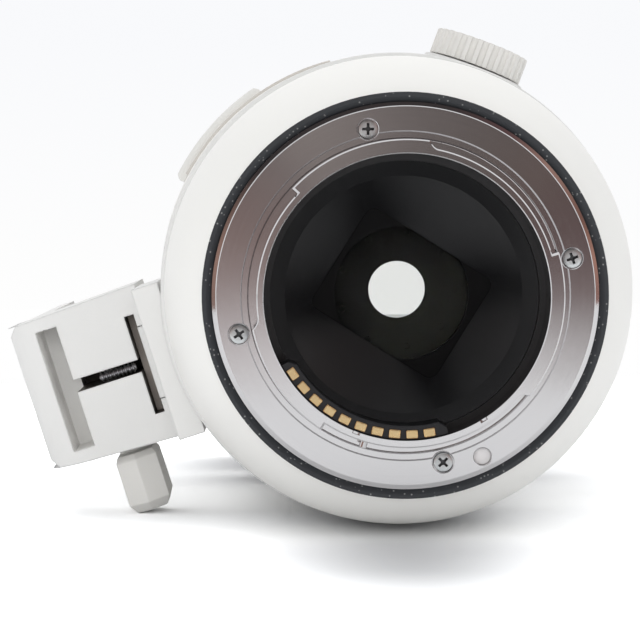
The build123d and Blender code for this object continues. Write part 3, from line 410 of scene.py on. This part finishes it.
def steel(name, colour, rough):
    """Bare steel with a fine grain."""
    mat, g = material(name)
    grain = g.noise(2500.0, 3.0)
    gloss = g.math("MULTIPLY_ADD", grain, 0.2, rough)
    finish(g, Base_Color=g.mix(grain, dim(colour, 0.88), colour), Metallic=1.0, Roughness=gloss,
           Normal=g.bump(grain, 0.15, 0.00002))
    return mat


def rubber(name, colour, dust, rough=0.62):
    """Moulded rubber with a fine tooth and specks of dust."""
    mat, g = material(name)
    tone = g.noise(120.0, 3.0)
    base = g.mix(tone, dim(colour, 0.82), colour)
    cells = g.add("ShaderNodeTexVoronoi", Vector=g.place(), Scale=1700.0, Randomness=1.0)
    chance = g.math("GREATER_THAN", g.split(cells.outputs["Color"])[0], 1.0 - dust)
    near = g.ramp(cells.outputs["Distance"], (0.12, 1.0), (0.30, 0.0))
    speck = g.math("MULTIPLY", chance, near)
    base = g.mix(g.math("MULTIPLY", speck, 0.55), base, (0.45, 0.45, 0.44))
    tooth = g.noise(3200.0, 2.0)
    gloss = g.math("MULTIPLY_ADD", tone, 0.14, rough - 0.07)
    finish(g, Base_Color=base, Roughness=gloss, Normal=g.bump(tooth, 0.35, 0.00008))
    return mat


def plastic(name, colour, rough=0.5, grain=900.0, depth=0.00006):
    """Moulded plastic with a fine spark-eroded texture."""
    mat, g = material(name)
    pits = g.noise(grain, 3.0, 0.6)
    gloss = g.math("MULTIPLY_ADD", pits, 0.16, rough - 0.08)
    finish(g, Base_Color=g.mix(g.noise(60.0), dim(colour, 0.8), colour), Roughness=gloss,
           Normal=g.bump(pits, 0.3, depth))
    return mat


def anodised(name, colour, rough=0.45):
    """Black anodised aluminium, turned, with rings round the axis."""
    mat, g = material(name)
    rings = g.noise(9000.0, 2.0, 0.6, vector=g.radius(), dims="1D")
    gloss = g.math("MULTIPLY_ADD", rings, 0.15, rough)
    finish(g, Base_Color=g.mix(rings, dim(colour, 0.7), colour), Metallic=0.35, Roughness=gloss,
           Specular_IOR_Level=0.2, Normal=g.bump(rings, 0.3, 0.00003))
    return mat


def gold(name):
    """Gold plating, worn a little paler by the camera's contacts."""
    mat, g = material(name)
    wear = g.noise(1400.0, 3.0)
    base = g.mix(wear, (0.84, 0.58, 0.27), (0.95, 0.76, 0.44))
    gloss = g.math("MULTIPLY_ADD", wear, 0.2, 0.2)
    finish(g, Base_Color=base, Metallic=1.0, Roughness=gloss, Normal=g.bump(wear, 0.2, 0.00002))
    return mat


def board(name):
    """Solder-masked circuit board with a pattern of tracks."""
    mat, g = material(name)
    cells = g.add("ShaderNodeTexVoronoi", _feature="DISTANCE_TO_EDGE", Vector=g.place(), Scale=420.0)
    track = g.ramp(cells.outputs[0], (0.03, 1.0), (0.06, 0.0))
    base = g.mix(track, (0.02, 0.13, 0.06), (0.06, 0.26, 0.12))
    finish(g, Base_Color=base, Roughness=0.35, Normal=g.bump(track, 0.4, 0.00003))
    return mat


def coated_glass(name, tint, skim=1.16):
    """Lens element: lets light through nearly straight, with a tinted coating reflection."""
    mat, g = material(name)
    smear = g.noise(300.0, 3.0)
    clear = g.add("ShaderNodeBsdfGlass", Color=(0.975, 0.977, 0.975, 1.0), Roughness=0.0, IOR=1.012)
    coat = g.add("ShaderNodeBsdfGlossy", Color=(*tint, 1.0),
                 Roughness=g.math("MULTIPLY_ADD", smear, 0.03, 0.01))
    edge = g.add("ShaderNodeFresnel", IOR=skim)
    both = g.add("ShaderNodeMixShader", i0=edge.outputs[0], i1=clear.outputs[0], i2=coat.outputs[0])
    g.add("ShaderNodeOutputMaterial", Surface=both.outputs[0])
    return mat


shell_white = paint("shell_white", (0.90, 0.89, 0.86))
foot_white = paint("foot_white", (0.77, 0.765, 0.75), rough=0.5, edge=0.5)
# the hinge slot's paint, lighter than the foot's: painted light in the slot's shade
slot_painted_light = paint("slot_painted_light", (0.97, 0.96, 0.94), rough=0.6)
# dark brown on the faces inside the T slot and the clamp slit: painted shade deep in the foot's slots
slot_painted_shade = plastic("slot_painted_shade", (0.095, 0.082, 0.072), 0.45)
# brown-grey on the white collar's rail where it runs deep into the T slot: painted shade
rail_painted_shade = plastic("rail_painted_shade", (0.42, 0.37, 0.33), 0.4)
knob_white = paint("knob_white", (0.76, 0.745, 0.715), rough=0.5)
# the pad's white paint, darkened to grey: painted shade
pad_painted_shade = paint("pad_painted_shade", (0.62, 0.59, 0.55), rough=0.5)
panel_white = paint("panel_white", (0.80, 0.79, 0.76), rough=0.5)
flange_chrome = chrome("flange_chrome", (0.69, 0.68, 0.685), 0.05)
screw_steel = steel("screw_steel", (0.84, 0.875, 0.88), 0.32)
# dark steel for the screws' cross recesses: painted shade
recess_painted_shade = steel("recess_painted_shade", (0.16, 0.17, 0.175), 0.35)
# white paint on the floor of the chrome flange's lock recess: a painted highlight
recess_floor_painted_highlight = paint("recess_floor_painted_highlight", (0.90, 0.88, 0.88), rough=0.5)
mark_white = paint("mark_white", (0.86, 0.86, 0.84), rough=0.5)
mark_grey = paint("mark_grey", (0.13, 0.13, 0.135), rough=0.5)
mark_red = paint("mark_red", (0.62, 0.07, 0.04), rough=0.45)
inner_steel = steel("inner_steel", (0.62, 0.62, 0.64), 0.3)
seal_rubber = rubber("seal_rubber", (0.036, 0.039, 0.044), 0.35)
grip_rubber = rubber("grip_rubber", (0.020, 0.020, 0.022), 0.02, 0.58)
baffle_black = plastic("baffle_black", (0.010, 0.010, 0.011), 0.42)
block_black = plastic("block_black", (0.012, 0.012, 0.014), 0.45)
ring_black = plastic("ring_black", (0.020, 0.020, 0.021), 0.46, 1500.0, 0.00004)
switch_black = plastic("switch_black", (0.030, 0.030, 0.032), 0.45)
tube_black = anodised("tube_black", (0.006, 0.006, 0.0065), 0.55)
blade_black = anodised("blade_black", (0.005, 0.005, 0.0055), 0.6)
contact_gold = gold("contact_gold")
board_green = board("board_green")
rear_glass = coated_glass("rear_glass", (0.16, 0.17, 0.11))
front_glass = coated_glass("front_glass", (0.26, 0.40, 0.37), 1.32)

FINISHES = {
    "mount_flange": flange_chrome, "mount_screws": screw_steel, "mount_seal": seal_rubber,
    "contact_block": block_black, "contact_pins": contact_gold, "rear_baffle": baffle_black,
    "rear_shell": shell_white, "main_barrel": shell_white, "barrel_pad": pad_painted_shade,
    "switch_panel": panel_white, "focus_ring": ring_black, "focus_grip": grip_rubber,
    "button_band": shell_white, "tension_ring": ring_black, "zoom_ring": ring_black,
    "zoom_grip": grip_rubber, "cam_barrel": tube_black, "guide_tube": tube_black,
    "cam_retainer": tube_black, "dust_seal": grip_rubber, "front_tube": shell_white,
    "front_followers": inner_steel, "front_lens": front_glass, "front_head": shell_white,
    "trim_ring": tube_black, "core_housing": tube_black, "main_board": board_green,
    "rear_cell": tube_black, "rear_lens": rear_glass, "iris_base": tube_black,
    "iris_ring": tube_black, "iris_cover": tube_black, "middle_cell": tube_black,
    "guide_rods": inner_steel, "focus_magnets": inner_steel, "focus_carriage": tube_black,
    "focus_lens": rear_glass, "zoom_carriage": tube_black, "zoom_followers": inner_steel,
    "zoom_lens": rear_glass, "tripod_collar": foot_white, "collar_knob": knob_white,
    "tripod_foot": foot_white, "clamp_knob": knob_white,
}


# the nodes that aren't listed are the iris blades, the switches and the buttons
for name, thing in nodes.items():
    unlisted = blade_black if name.startswith("iris_blade") else switch_black
    thing.data.materials.clear()
    thing.data.materials.append(FINISHES.get(name, unlisted))


# ---------------------------------------------------------------- bayonet mount
FLANGE_RADIUS, LAND_RADIUS, GROOVE_RADIUS, BORE_RADIUS = 29.85, 25.25, 24.2, 22.4
TUBE_RADIUS, THROAT_RADIUS = 22.95, 21.85
TUBE_END, GROOVE_FLOOR, INNER_END = -4.5, 1.2, 2.5   # depths; the mount's parts all end at the last
CLAW_HEIGHT = 1.1
CLAWS = ((-42.0, 3.3, 16.7), (78.0, 4.0, 136.6), (187.5, 4.4, 237.0))   # start, length of the lead, end
WALL_DROP, WALL_LENGTH, ARC_STEP, LEAD_STEPS = 0.35, 0.85, 1.5, 12
SCREW_ANGLES = (12.8, 102.8, 192.8, 282.8)
SCREW_TURNS = (20.0, 0.0, 35.0, 45.0)
SCREW_CIRCLE = 26.3
LOCK_RECESS = (27.5, 295.7, 0.0)
KEY_NOTCHES = (249.4, 302.0)


def bayonet_section(height, drop):
    """Section of the bayonet tube with a claw of that height, whose end is dropped by a chamfer."""
    out = TUBE_RADIUS + height
    chamfer = 0.2 * drop / WALL_DROP
    rim = TUBE_RADIUS - 0.2 + chamfer
    return [(TUBE_RADIUS, 1.8), (TUBE_RADIUS, -3.1), (max(TUBE_RADIUS, out - 0.1), -3.1), (out, -3.2),
            (out, -4.3 + drop), (out - 0.2, TUBE_END + drop), (rim, TUBE_END + drop),
            (rim, TUBE_END + chamfer), (TUBE_RADIUS - 0.2, TUBE_END), (THROAT_RADIUS + 0.15, TUBE_END),
            (THROAT_RADIUS, -4.35),
            (THROAT_RADIUS, INNER_END), (TUBE_RADIUS, INNER_END)]


def bayonet():
    """Bayonet tube: three claws, each with a curved lead at one end and a chamfered wall at the other."""
    rows = []
    for k, (start, lead, end) in enumerate(CLAWS):
        following = CLAWS[(k + 1) % len(CLAWS)][0] % 360.0
        while following < end:
            following += 360.0
        for i in range(LEAD_STEPS + 1):
            share = i / LEAD_STEPS
            rows.append((start + lead * share, CLAW_HEIGHT * share**2.2, 0.0))
        level = end - WALL_LENGTH - start - lead
        steps = int(level / ARC_STEP)
        for i in range(1, steps + 1):
            rows.append((start + lead + level * i / steps, CLAW_HEIGHT, 0.0))
        rows.append((end, CLAW_HEIGHT, WALL_DROP))
        rows.append((end, 0.0, WALL_DROP))
        steps = int((following - end) / ARC_STEP)
        for i in range(1, steps):
            rows.append((end + (following - end) * i / steps, 0.0, 0.0))
    sections = []
    for angle, height, drop in rows:
        section = bayonet_section(height, drop)
        if height == 0.0 and drop:
            section[4:8] = [(TUBE_RADIUS, depth) for depth in (-3.95, -4.15, -4.15, -4.3)]
        sections.append([polar(r, angle, y) for r, y in section])
    return sweep(sections)


def build_flange():
    """Flange with its screw seats and lock recess, the bayonet tube and the stop pin."""
    ring = stand("flange_ring", lathe(
        [(FLANGE_RADIUS, INNER_END), (FLANGE_RADIUS, 0.38), (29.27, 0.12), (29.13, 0.0),
         (LAND_RADIUS + 0.2, 0.0), (LAND_RADIUS, 0.2), (LAND_RADIUS, 0.3), (GROOVE_RADIUS + 0.2, 0.3),
         (GROOVE_RADIUS, 0.5), (GROOVE_RADIUS, GROOVE_FLOOR), (BORE_RADIUS, GROOVE_FLOOR),
         (BORE_RADIUS, INNER_END)], 360))
    holes = [turned([(0.0, -1.2), (1.75, -1.2), (1.75, 0.3), (0.0, 0.3)], facing_back(SCREW_CIRCLE, angle, 0.0))
             for angle in SCREW_ANGLES]
    holes.append(turned([(0.0, -1.6), (1.4, -1.6), (1.4, -0.06), (1.46, 0.0), (1.46, 0.3), (0.0, 0.3)],
                        facing_back(*LOCK_RECESS, 3.0), 44))
    cut(ring, join(*holes))
    smooth(ring, 10.0)
    tube = stand("bayonet_tube", bayonet())
    cut(tube, join(*[prism(rounded(1.1, 1.2, 0.3), -0.6, 0.4, frame_at(THROAT_RADIUS, angle, -4.6))
                     for angle in KEY_NOTCHES]))
    smooth(tube, 10.0)
    pin = stand("stop_pin", turned([(0.0, 0.0), (0.6, 0.0), (0.6, 1.05), (0.5, 1.15), (0.0, 1.17)],
                                   frame_at(22.9, 253.7, -2.25), 32))
    smooth(pin, 30.0)
    seats = stand("screw_seats", join(*[
        ring_on(((1.77, -1.2), (1.77, -0.06), (1.71, 0.0), (1.6, -0.11), (1.6, -1.2)),
                facing_back(SCREW_CIRCLE, angle, 0.0), 64) for angle in SCREW_ANGLES]))
    smooth(seats, 20.0)
    floor = stand("lock_recess_floor", turned(
        [(0.0, -1.58), (1.38, -1.58), (1.38, -1.5), (1.3, -1.42), (0.0, -1.4)], facing_back(*LOCK_RECESS)))
    smooth(floor, 30.0)
    place(ring, "lens_body", flange_chrome, "flange_chrome", "mount_flange")
    for thing in (tube, pin, seats):
        place(thing, "lens_body", flange_chrome, "flange_chrome")
    # the recess floor, part of the chrome flange, is painted white: a painted highlight
    place(floor, "lens_body", recess_floor_painted_highlight, "flange_chrome")


build_flange()


# ---------------------------------------------------------------- screws
SCREW_HEAD = ((0.0, -1.2), (1.44, -1.2), (1.5, -1.12), (1.5, -0.34), (1.46, -0.22), (1.36, -0.16),
              (0.9, -0.12), (0.0, -0.10))
CROSS = ((-0.9, -0.2), (-0.34, -0.2), (-0.2, -0.34), (-0.2, -0.9), (0.2, -0.9), (0.2, -0.34),
         (0.34, -0.2), (0.9, -0.2), (0.9, 0.2), (0.34, 0.2), (0.2, 0.34), (0.2, 0.9), (-0.2, 0.9),
         (-0.2, 0.34), (-0.34, 0.2), (-0.9, 0.2))


def build_screws():
    """Cross-recessed screws with domed heads, each turned as it was left by the driver."""
    for k, (angle, turn) in enumerate(zip(SCREW_ANGLES, SCREW_TURNS)):
        base = facing_back(SCREW_CIRCLE, angle, 0.0, turn)
        screw = stand(f"flange_screw_{k + 1}", turned(SCREW_HEAD, base, 64))
        cut(screw, prism(CROSS, -1.05, -0.02, base, 0.8, 1.04))
        smooth(screw, 28.0)
        place(screw, "lens_body", screw_steel, "screw_steel", *(["mount_screws"] if k == 0 else []))

        def in_cross(face, centre=base.translation):
            off = face.center - centre
            return off.y > 0.2 * MM and Vector((off.x, 0.0, off.z)).length < 1.2 * MM
        # the faces inside the cross recess take the dark steel: painted shade in the recess
        repaint(screw, recess_painted_shade, in_cross)


build_screws()


# ---------------------------------------------------------------- contacts
def build_contact_block():
    """Contact block: an arc with cut corners and an eased face."""
    start, end, outer, inner, corner, steps = 208.5, 287.0, 21.8, 19.65, 0.9, 59
    face = -3.8
    bm = bmesh.new()
    rings = []
    for i in range(steps + 1):
        angle = start + (end - start) * i / steps
        from_end = math.radians(min(angle - start, end - angle)) * 20.0
        low = inner + max(0.0, corner - from_end)
        section = [(outer, INNER_END), (outer, -3.65), (outer - 0.15, face), (low + 0.2, face),
                   (low, -3.6), (low, INNER_END)]
        rings.append([bm.verts.new(polar(r, angle, y)) for r, y in section])
    for here, there in zip(rings, rings[1:]):
        for i in range(len(here)):
            j = (i + 1) % len(here)
            bm.faces.new((here[i], here[j], there[j], there[i]))
    bm.faces.new(rings[0])
    bm.faces.new(rings[-1])
    block = stand("contact_base", bm)
    smooth(block, 30.0)
    place(block, "lens_body", block_black, "black_plastic", "contact_block")


build_contact_block()

# ---------------------------------------------------------------- CAD nodes with eased edges
refine("contact_pins", contact_gold, 0.14, 30.0, 3)
refine("mount_seal", seal_rubber, 0.15)
refine("rear_shell", shell_white, 0.2)
collar = refine("tripod_collar", foot_white, 0.2)
foot = refine("tripod_foot", foot_white, 0.0, merge=False)
refine("collar_knob", knob_white, 0.12)
refine("barrel_pad", pad_painted_shade, 0.2)
refine("switch_panel", panel_white, 0.25)
for name, width in (("main_barrel", 0.2), ("button_band", 0.2), ("front_tube", 0.15)):
    line_bore(refine(name, shell_white, width), tube_black)
for name in ("focus_ring", "tension_ring", "zoom_ring"):
    refine(name, ring_black, 0.15)
for name in ("focus_grip", "zoom_grip"):
    refine(name, grip_rubber, 0.12)
refine("clamp_knob", knob_white, 0.2)


# ---------------------------------------------------------------- foot and collar details
FOOT_ANGLE, FOOT_REAR = 197.7, 45.0
STUD_LOW, STUD_HIGH, STUD_PITCH, STUD_TURNS = 46.6, 53.2, 0.7, 9


def paint_zone(thing, mat, outwards, half_width, first_depth):
    """Another material on the faces inside the foot: between two heights, within a half width and
    from a depth on, in millimetres."""
    out = polar(1.0, FOOT_ANGLE, 0.0) / MM
    over = Vector((-out.z, 0.0, out.x))

    def inside(face):
        middle = face.center / MM
        return (outwards[0] <= middle.dot(out) <= outwards[1] and abs(middle.dot(over)) <= half_width
                and middle.y >= first_depth)
    repaint(thing, mat, inside)


for thing, mat, outwards, half_width, depth in (
        # hinge slot painted lighter than the foot: painted light
        (foot, slot_painted_light, (57.4, 61.35), 10.9, 0.05),      # hinge slot
        # T slot and clamp slit painted dark: painted shade
        (foot, slot_painted_shade, (44.0, 45.85), 8.9, 0.05),        # T slot
        (foot, slot_painted_shade, (45.85, 57.3), 1.3, 0.05),        # clamp slit
        # the rail's end, deeper than 4 mm into the T slot, painted brown-grey: painted shade
        (collar, rail_painted_shade, (44.1, 45.8), 9.0, 4.0)):      # end of the rail in the T slot
    paint_zone(thing, mat, outwards, half_width, FOOT_REAR + depth)


def build_stud():
    """Threaded stud that limits the jaws, seen along the clamp slit."""
    profile = [(0.0, STUD_LOW), (0.55, STUD_LOW)]
    for k in range(STUD_TURNS):
        profile += [(radius, STUD_LOW + rise + STUD_PITCH * k)
                    for radius, rise in ((0.62, 0.2), (0.98, 0.4), (0.98, 0.55), (0.62, 0.75))]
    profile += [(0.6, STUD_HIGH), (0.0, STUD_HIGH)]
    base = (Matrix.Translation((0.0, (FOOT_REAR + 2.2) * MM, 0.0))
            @ Matrix.Rotation(math.pi / 2 - math.radians(FOOT_ANGLE), 4, "Y"))
    stud = stand("slit_stud", turned(profile, base, 32))
    smooth(stud, 30.0)
    place(stud, "foot", inner_steel, "steel")


build_stud()


# ---------------------------------------------------------------- front and barrel details
THREAD_ROOT, THREAD_CREST, THREAD_REAR, THREAD_PITCH, THREAD_TURNS = 38.5, 38.15, 201.0, 0.75, 5
RIM_RADIUS, RIM_DEPTH, BAND_RADIUS = 43.68, 153.0, 43.2
COLLAR_RADIUS, COLLAR_DEPTH, INDEX_ANGLE, ZOOM_ANGLE = 39.2, 52.4, 107.7, 100.0
ZOOM_NUMBERS = (("100", 0.0), ("135", 20.0), ("200", 40.0), ("300", 60.0), ("400", 75.0))
INDEX_LINES = (   # name, body, radius, angle, depth, width, length
    ("zoom_index", "lens_body", BAND_RADIUS, ZOOM_ANGLE, 142.3, 0.45, 2.6),
    ("collar_index_1", "collar", COLLAR_RADIUS, 35.5, COLLAR_DEPTH, 0.4, 2.0),
    ("collar_index_2", "collar", COLLAR_RADIUS, INDEX_ANGLE, COLLAR_DEPTH, 0.4, 2.0),
    ("collar_index_3", "collar", COLLAR_RADIUS, 17.7, COLLAR_DEPTH, 0.4, 2.0),
    ("collar_index_4", "collar", COLLAR_RADIUS, 287.7, COLLAR_DEPTH, 0.4, 2.0),
    ("barrel_index", "lens_body", 40.4, INDEX_ANGLE, 56.8, 0.4, 2.0))


def build_filter_thread():
    """Filter thread inside the front head."""
    profile = [(38.8, THREAD_REAR)]
    for k in range(THREAD_TURNS):
        profile += [(radius, THREAD_REAR + rise + THREAD_PITCH * k)
                    for radius, rise in ((THREAD_ROOT, 0.05), (THREAD_CREST, 0.38), (THREAD_CREST, 0.46))]
    profile += [(THREAD_ROOT, 204.82), (38.8, 204.9)]
    thread = stand("filter_thread", lathe(profile, 180))
    smooth(thread, 25.0)
    place(thread, "front_group", tube_black, "black_metal")


def wrapped_text(name, words, angle, radius, depth, size):
    """Raised characters that follow a ring, read from above with the mount near the reader."""
    data = bpy.data.curves.new(name, "FONT")
    data.body = words
    data.size = size * MM
    data.extrude = 0.04 * MM
    data.align_x, data.align_y = "CENTER", "CENTER"
    flat = new_object(name, data)
    mesh = bpy.data.meshes.new_from_object(flat.evaluated_get(bpy.context.evaluated_depsgraph_get()))
    bpy.data.objects.remove(flat)
    for vert in mesh.vertices:
        x, y, z = vert.co / MM
        vert.co = polar(radius + z, angle - math.degrees(x / radius), depth + y)
    return new_object(name, mesh)


def build_marks():
    """Numbers on the zoom ring's rim, index lines, and the dot for the lens hood."""
    for k, (number, turn) in enumerate(ZOOM_NUMBERS):
        words = wrapped_text(f"zoom_number_{k + 1}", number, ZOOM_ANGLE + turn, RIM_RADIUS, RIM_DEPTH, 2.2)
        place(words, "zoom_ring", mark_white, "white_paint")
    for name, body, radius, angle, depth, width, length in INDEX_LINES:
        outline = rounded(length, width, width * 0.45)
        line = stand(name, prism(outline, -0.2, 0.04, frame_at(radius, angle, depth)))
        smooth(line, 30.0)
        place(line, body, mark_grey, "grey_paint")
    dot = stand("hood_index", turned([(0.0, -0.2), (0.9, -0.2), (0.9, 0.02), (0.8, 0.06), (0.0, 0.06)],
                                     frame_at(44.4, 60.0, 197.0), 32))
    smooth(dot, 30.0)
    place(dot, "front_group", mark_red, "grey_paint")


build_filter_thread()
build_marks()
line_bore(refine("front_head", shell_white, 0.2), tube_black)


# ---------------------------------------------------------------- world, lamps and table
# What polished metal mirrors, by the angle round the reflected line of sight, in degrees: the dim
# warm room beside the camera, then a wider ring round it, and pale walls outside both.
NEAR_ROOM = ((0, (0.23, 0.17, 0.165)), (20, (0.12, 0.075, 0.075)), (40, (0.17, 0.13, 0.12)),
             (75, (0.15, 0.135, 0.13)), (100, (0.22, 0.19, 0.185)), (118, (0.38, 0.34, 0.32)),
             (132, (0.22, 0.19, 0.185)), (165, (0.26, 0.175, 0.16)), (182, (0.46, 0.39, 0.38)),
             (205, (0.92, 0.90, 0.91)), (325, (0.94, 0.93, 0.94)), (342, (0.66, 0.64, 0.64)),
             (352, (0.38, 0.35, 0.35)))
WIDE_ROOM = ((0, (0.36, 0.20, 0.17)), (10, (0.49, 0.27, 0.21)), (22, (0.23, 0.12, 0.095)),
             (40, (0.41, 0.25, 0.21)), (55, (0.14, 0.08, 0.08)), (75, (0.055, 0.047, 0.047)),
             (140, (0.055, 0.047, 0.047)), (170, (0.39, 0.245, 0.20)), (195, (0.27, 0.19, 0.17)),
             (210, (0.61, 0.57, 0.58)), (240, (0.92, 0.92, 0.92)), (310, (0.85, 0.82, 0.82)),
             (335, (0.64, 0.56, 0.55)), (350, (0.28, 0.16, 0.15)))
PALE_WALLS = (0.98, 0.985, 1.0)
SOFT_LIGHT = (0.63, 0.635, 0.64)
# slope of the reflected line of sight at the mount, sideways and upwards
MIRROR_SIDE, MIRROR_RISE = 0.056, -0.043


def around(g, turn, stops):
    """Colour by the angle round a line; the last stop runs back into the first."""
    return g.ramp(turn, *((angle / 360.0, colour) for angle, colour in stops), (1.0, stops[0][1]))


def build_world():
    """Even soft light; metal mirrors the room, and the camera sees a white backdrop."""
    world = bpy.data.worlds.new("studio")
    bpy.context.scene.world = world
    g = Graph(world)
    ray = g.add("ShaderNodeLightPath").outputs
    x, y, z = g.split(g.add("ShaderNodeTexCoord").outputs["Generated"])
    seen = g.math("MAXIMUM", ray["Is Camera Ray"], ray["Is Transmission Ray"])
    ahead = g.math("MAXIMUM", g.math("MULTIPLY", y, -1.0), 0.001)
    side = g.math("SUBTRACT", g.math("DIVIDE", x, ahead), MIRROR_SIDE)
    rise = g.math("SUBTRACT", g.math("DIVIDE", z, ahead), MIRROR_RISE)
    turn = g.math("FRACT", g.math("MULTIPLY_ADD", g.math("ARCTAN2", rise, side), 0.5 / math.pi, 1.0))
    spread = g.math("MULTIPLY", g.hypotenuse(side, rise), 0.25)
    near, wide = around(g, turn, NEAR_ROOM), around(g, turn, WIDE_ROOM)
    room = g.mix(g.ramp(spread, (0.09, 0.0), (0.20, 1.0)), near, wide)
    room = g.mix(g.ramp(spread, (0.42, 0.0), (0.80, 1.0)), room, PALE_WALLS)
    lit = g.mix(ray["Is Glossy Ray"], SOFT_LIGHT, room)
    sky = g.ramp(g.math("ADD", z, 0.5), (0.42, WHITE), (0.47, (0.985, 0.985, 0.985)),
                 (0.57, (0.945, 0.952, 0.972)))
    back = g.add("ShaderNodeBackground", Color=g.mix(seen, lit, sky), Strength=1.0)
    g.add("ShaderNodeOutputWorld", Surface=back.outputs[0])


def area(name, position, aim, size, power):
    """White rectangular lamp that metal doesn't mirror."""
    data = bpy.data.lights.new(name, "AREA")
    data.shape = "RECTANGLE"
    data.size, data.size_y = size
    data.energy = power
    lamp = new_object(name, data)
    lamp.location = position
    lamp.visible_glossy = False
    lamp.rotation_euler = (Vector(aim) - Vector(position)).to_track_quat("-Z", "Y").to_euler()


build_world()
area("backlight", (0.10, 1.00, 0.95), (0.0, 0.02, 0.0), (1.8, 1.0), 12.5)
area("front_fill", (-0.22, -1.20, 0.12), (0.0, 0.0, 0.0), (0.9, 0.7), 8.2)

# The table's plane: the lens rests on the barrel's step, the zoom grip and the tip of the foot's knob.
FLOOR_DEPTH, FLOOR_HEIGHT, FLOOR_SLOPE, FLOOR_ROLL = 55.0 * MM, -40.4 * MM, 0.0383, 0.0093
TABLE_EDGE = -0.2            # past it, metal mirrors the room and no longer the table
# the shadow there is partly real and partly painted on the table for the camera
CONTACT_DEPTH = 0.04         # middle of the stretch where the camera sees the lens's shadow
OPEN_TABLE = (1.9, 1.9, 1.9)


def build_floor():
    """Pale table with a painted shadow along the lens for the camera; far behind, and where nothing shades it,
    it fades into the backdrop's white.
    """
    mat, g = material("table_white")
    ray = g.add("ShaderNodeLightPath").outputs
    x, y, _ = g.split(g.place())
    tone = g.mix(g.noise(3.0, 2.0), (0.93, 0.935, 0.945), (0.95, 0.955, 0.965))
    # for camera rays the table's tone is multiplied above white on the open table and below it along the line
    # where the lens lies on it: painted light round the lens and a painted shadow under it, on top of the
    # lamps' real shadow; only the camera sees it so, and the light stays plain
    beside = g.ramp(g.math("MULTIPLY_ADD", x, 8.0, 0.5), (0.0, 2.05), (0.22, 1.95), (0.50, 0.76),
                    (0.68, 1.38), (1.0, 1.7), kind="EASE")
    along = g.ramp(g.math("MULTIPLY_ADD", y, 4.0, 0.5), (0.0, 1.8), (0.34, 1.30), (0.49, 1.22),
                   (0.57, 1.04), (0.65, 0.96), (0.82, 0.82), (1.0, 0.88))
    reach = g.hypotenuse(x, g.math("SUBTRACT", y, CONTACT_DEPTH))
    painted_light_and_shadow = g.mix(g.ramp(reach, (0.07, 0.0), (0.13, 1.0), kind="EASE"),
                  g.mix(1.0, beside, along, how="MULTIPLY"), OPEN_TABLE)
    bounce = g.mix(1.0, tone, (1.05, 1.05, 1.05), how="MULTIPLY")
    tone = g.mix(ray["Is Camera Ray"], bounce, g.mix(1.0, tone, painted_light_and_shadow, how="MULTIPLY"))
    lifted = g.add("ShaderNodeBsdfDiffuse", Color=tone)
    white = g.add("ShaderNodeEmission", Color=(*WHITE, 1.0), Strength=1.0)
    far = g.ramp(reach, (0.30, 0.0), (0.60, 1.0), kind="EASE")
    fade = g.add("ShaderNodeMixShader", i0=g.math("MULTIPLY", far, ray["Is Camera Ray"]),
                 i1=lifted.outputs[0], i2=white.outputs[0])
    gone = g.math("MULTIPLY", g.math("LESS_THAN", y, TABLE_EDGE), ray["Is Glossy Ray"])
    none = g.add("ShaderNodeBsdfTransparent")
    both = g.add("ShaderNodeMixShader", i0=gone, i1=fade.outputs[0], i2=none.outputs[0])
    g.add("ShaderNodeOutputMaterial", Surface=both.outputs[0])
    mesh = bpy.data.meshes.new("table")
    corners = [(x, y, FLOOR_HEIGHT - (y - FLOOR_DEPTH) * FLOOR_SLOPE + x * FLOOR_ROLL)
               for x, y in ((-3.0, -2.5), (3.0, -2.5), (3.0, 4.0), (-3.0, 4.0))]
    mesh.from_pydata(corners, [], [(0, 1, 2, 3)])
    mesh.materials.append(mat)
    new_object("table", mesh)


build_floor()
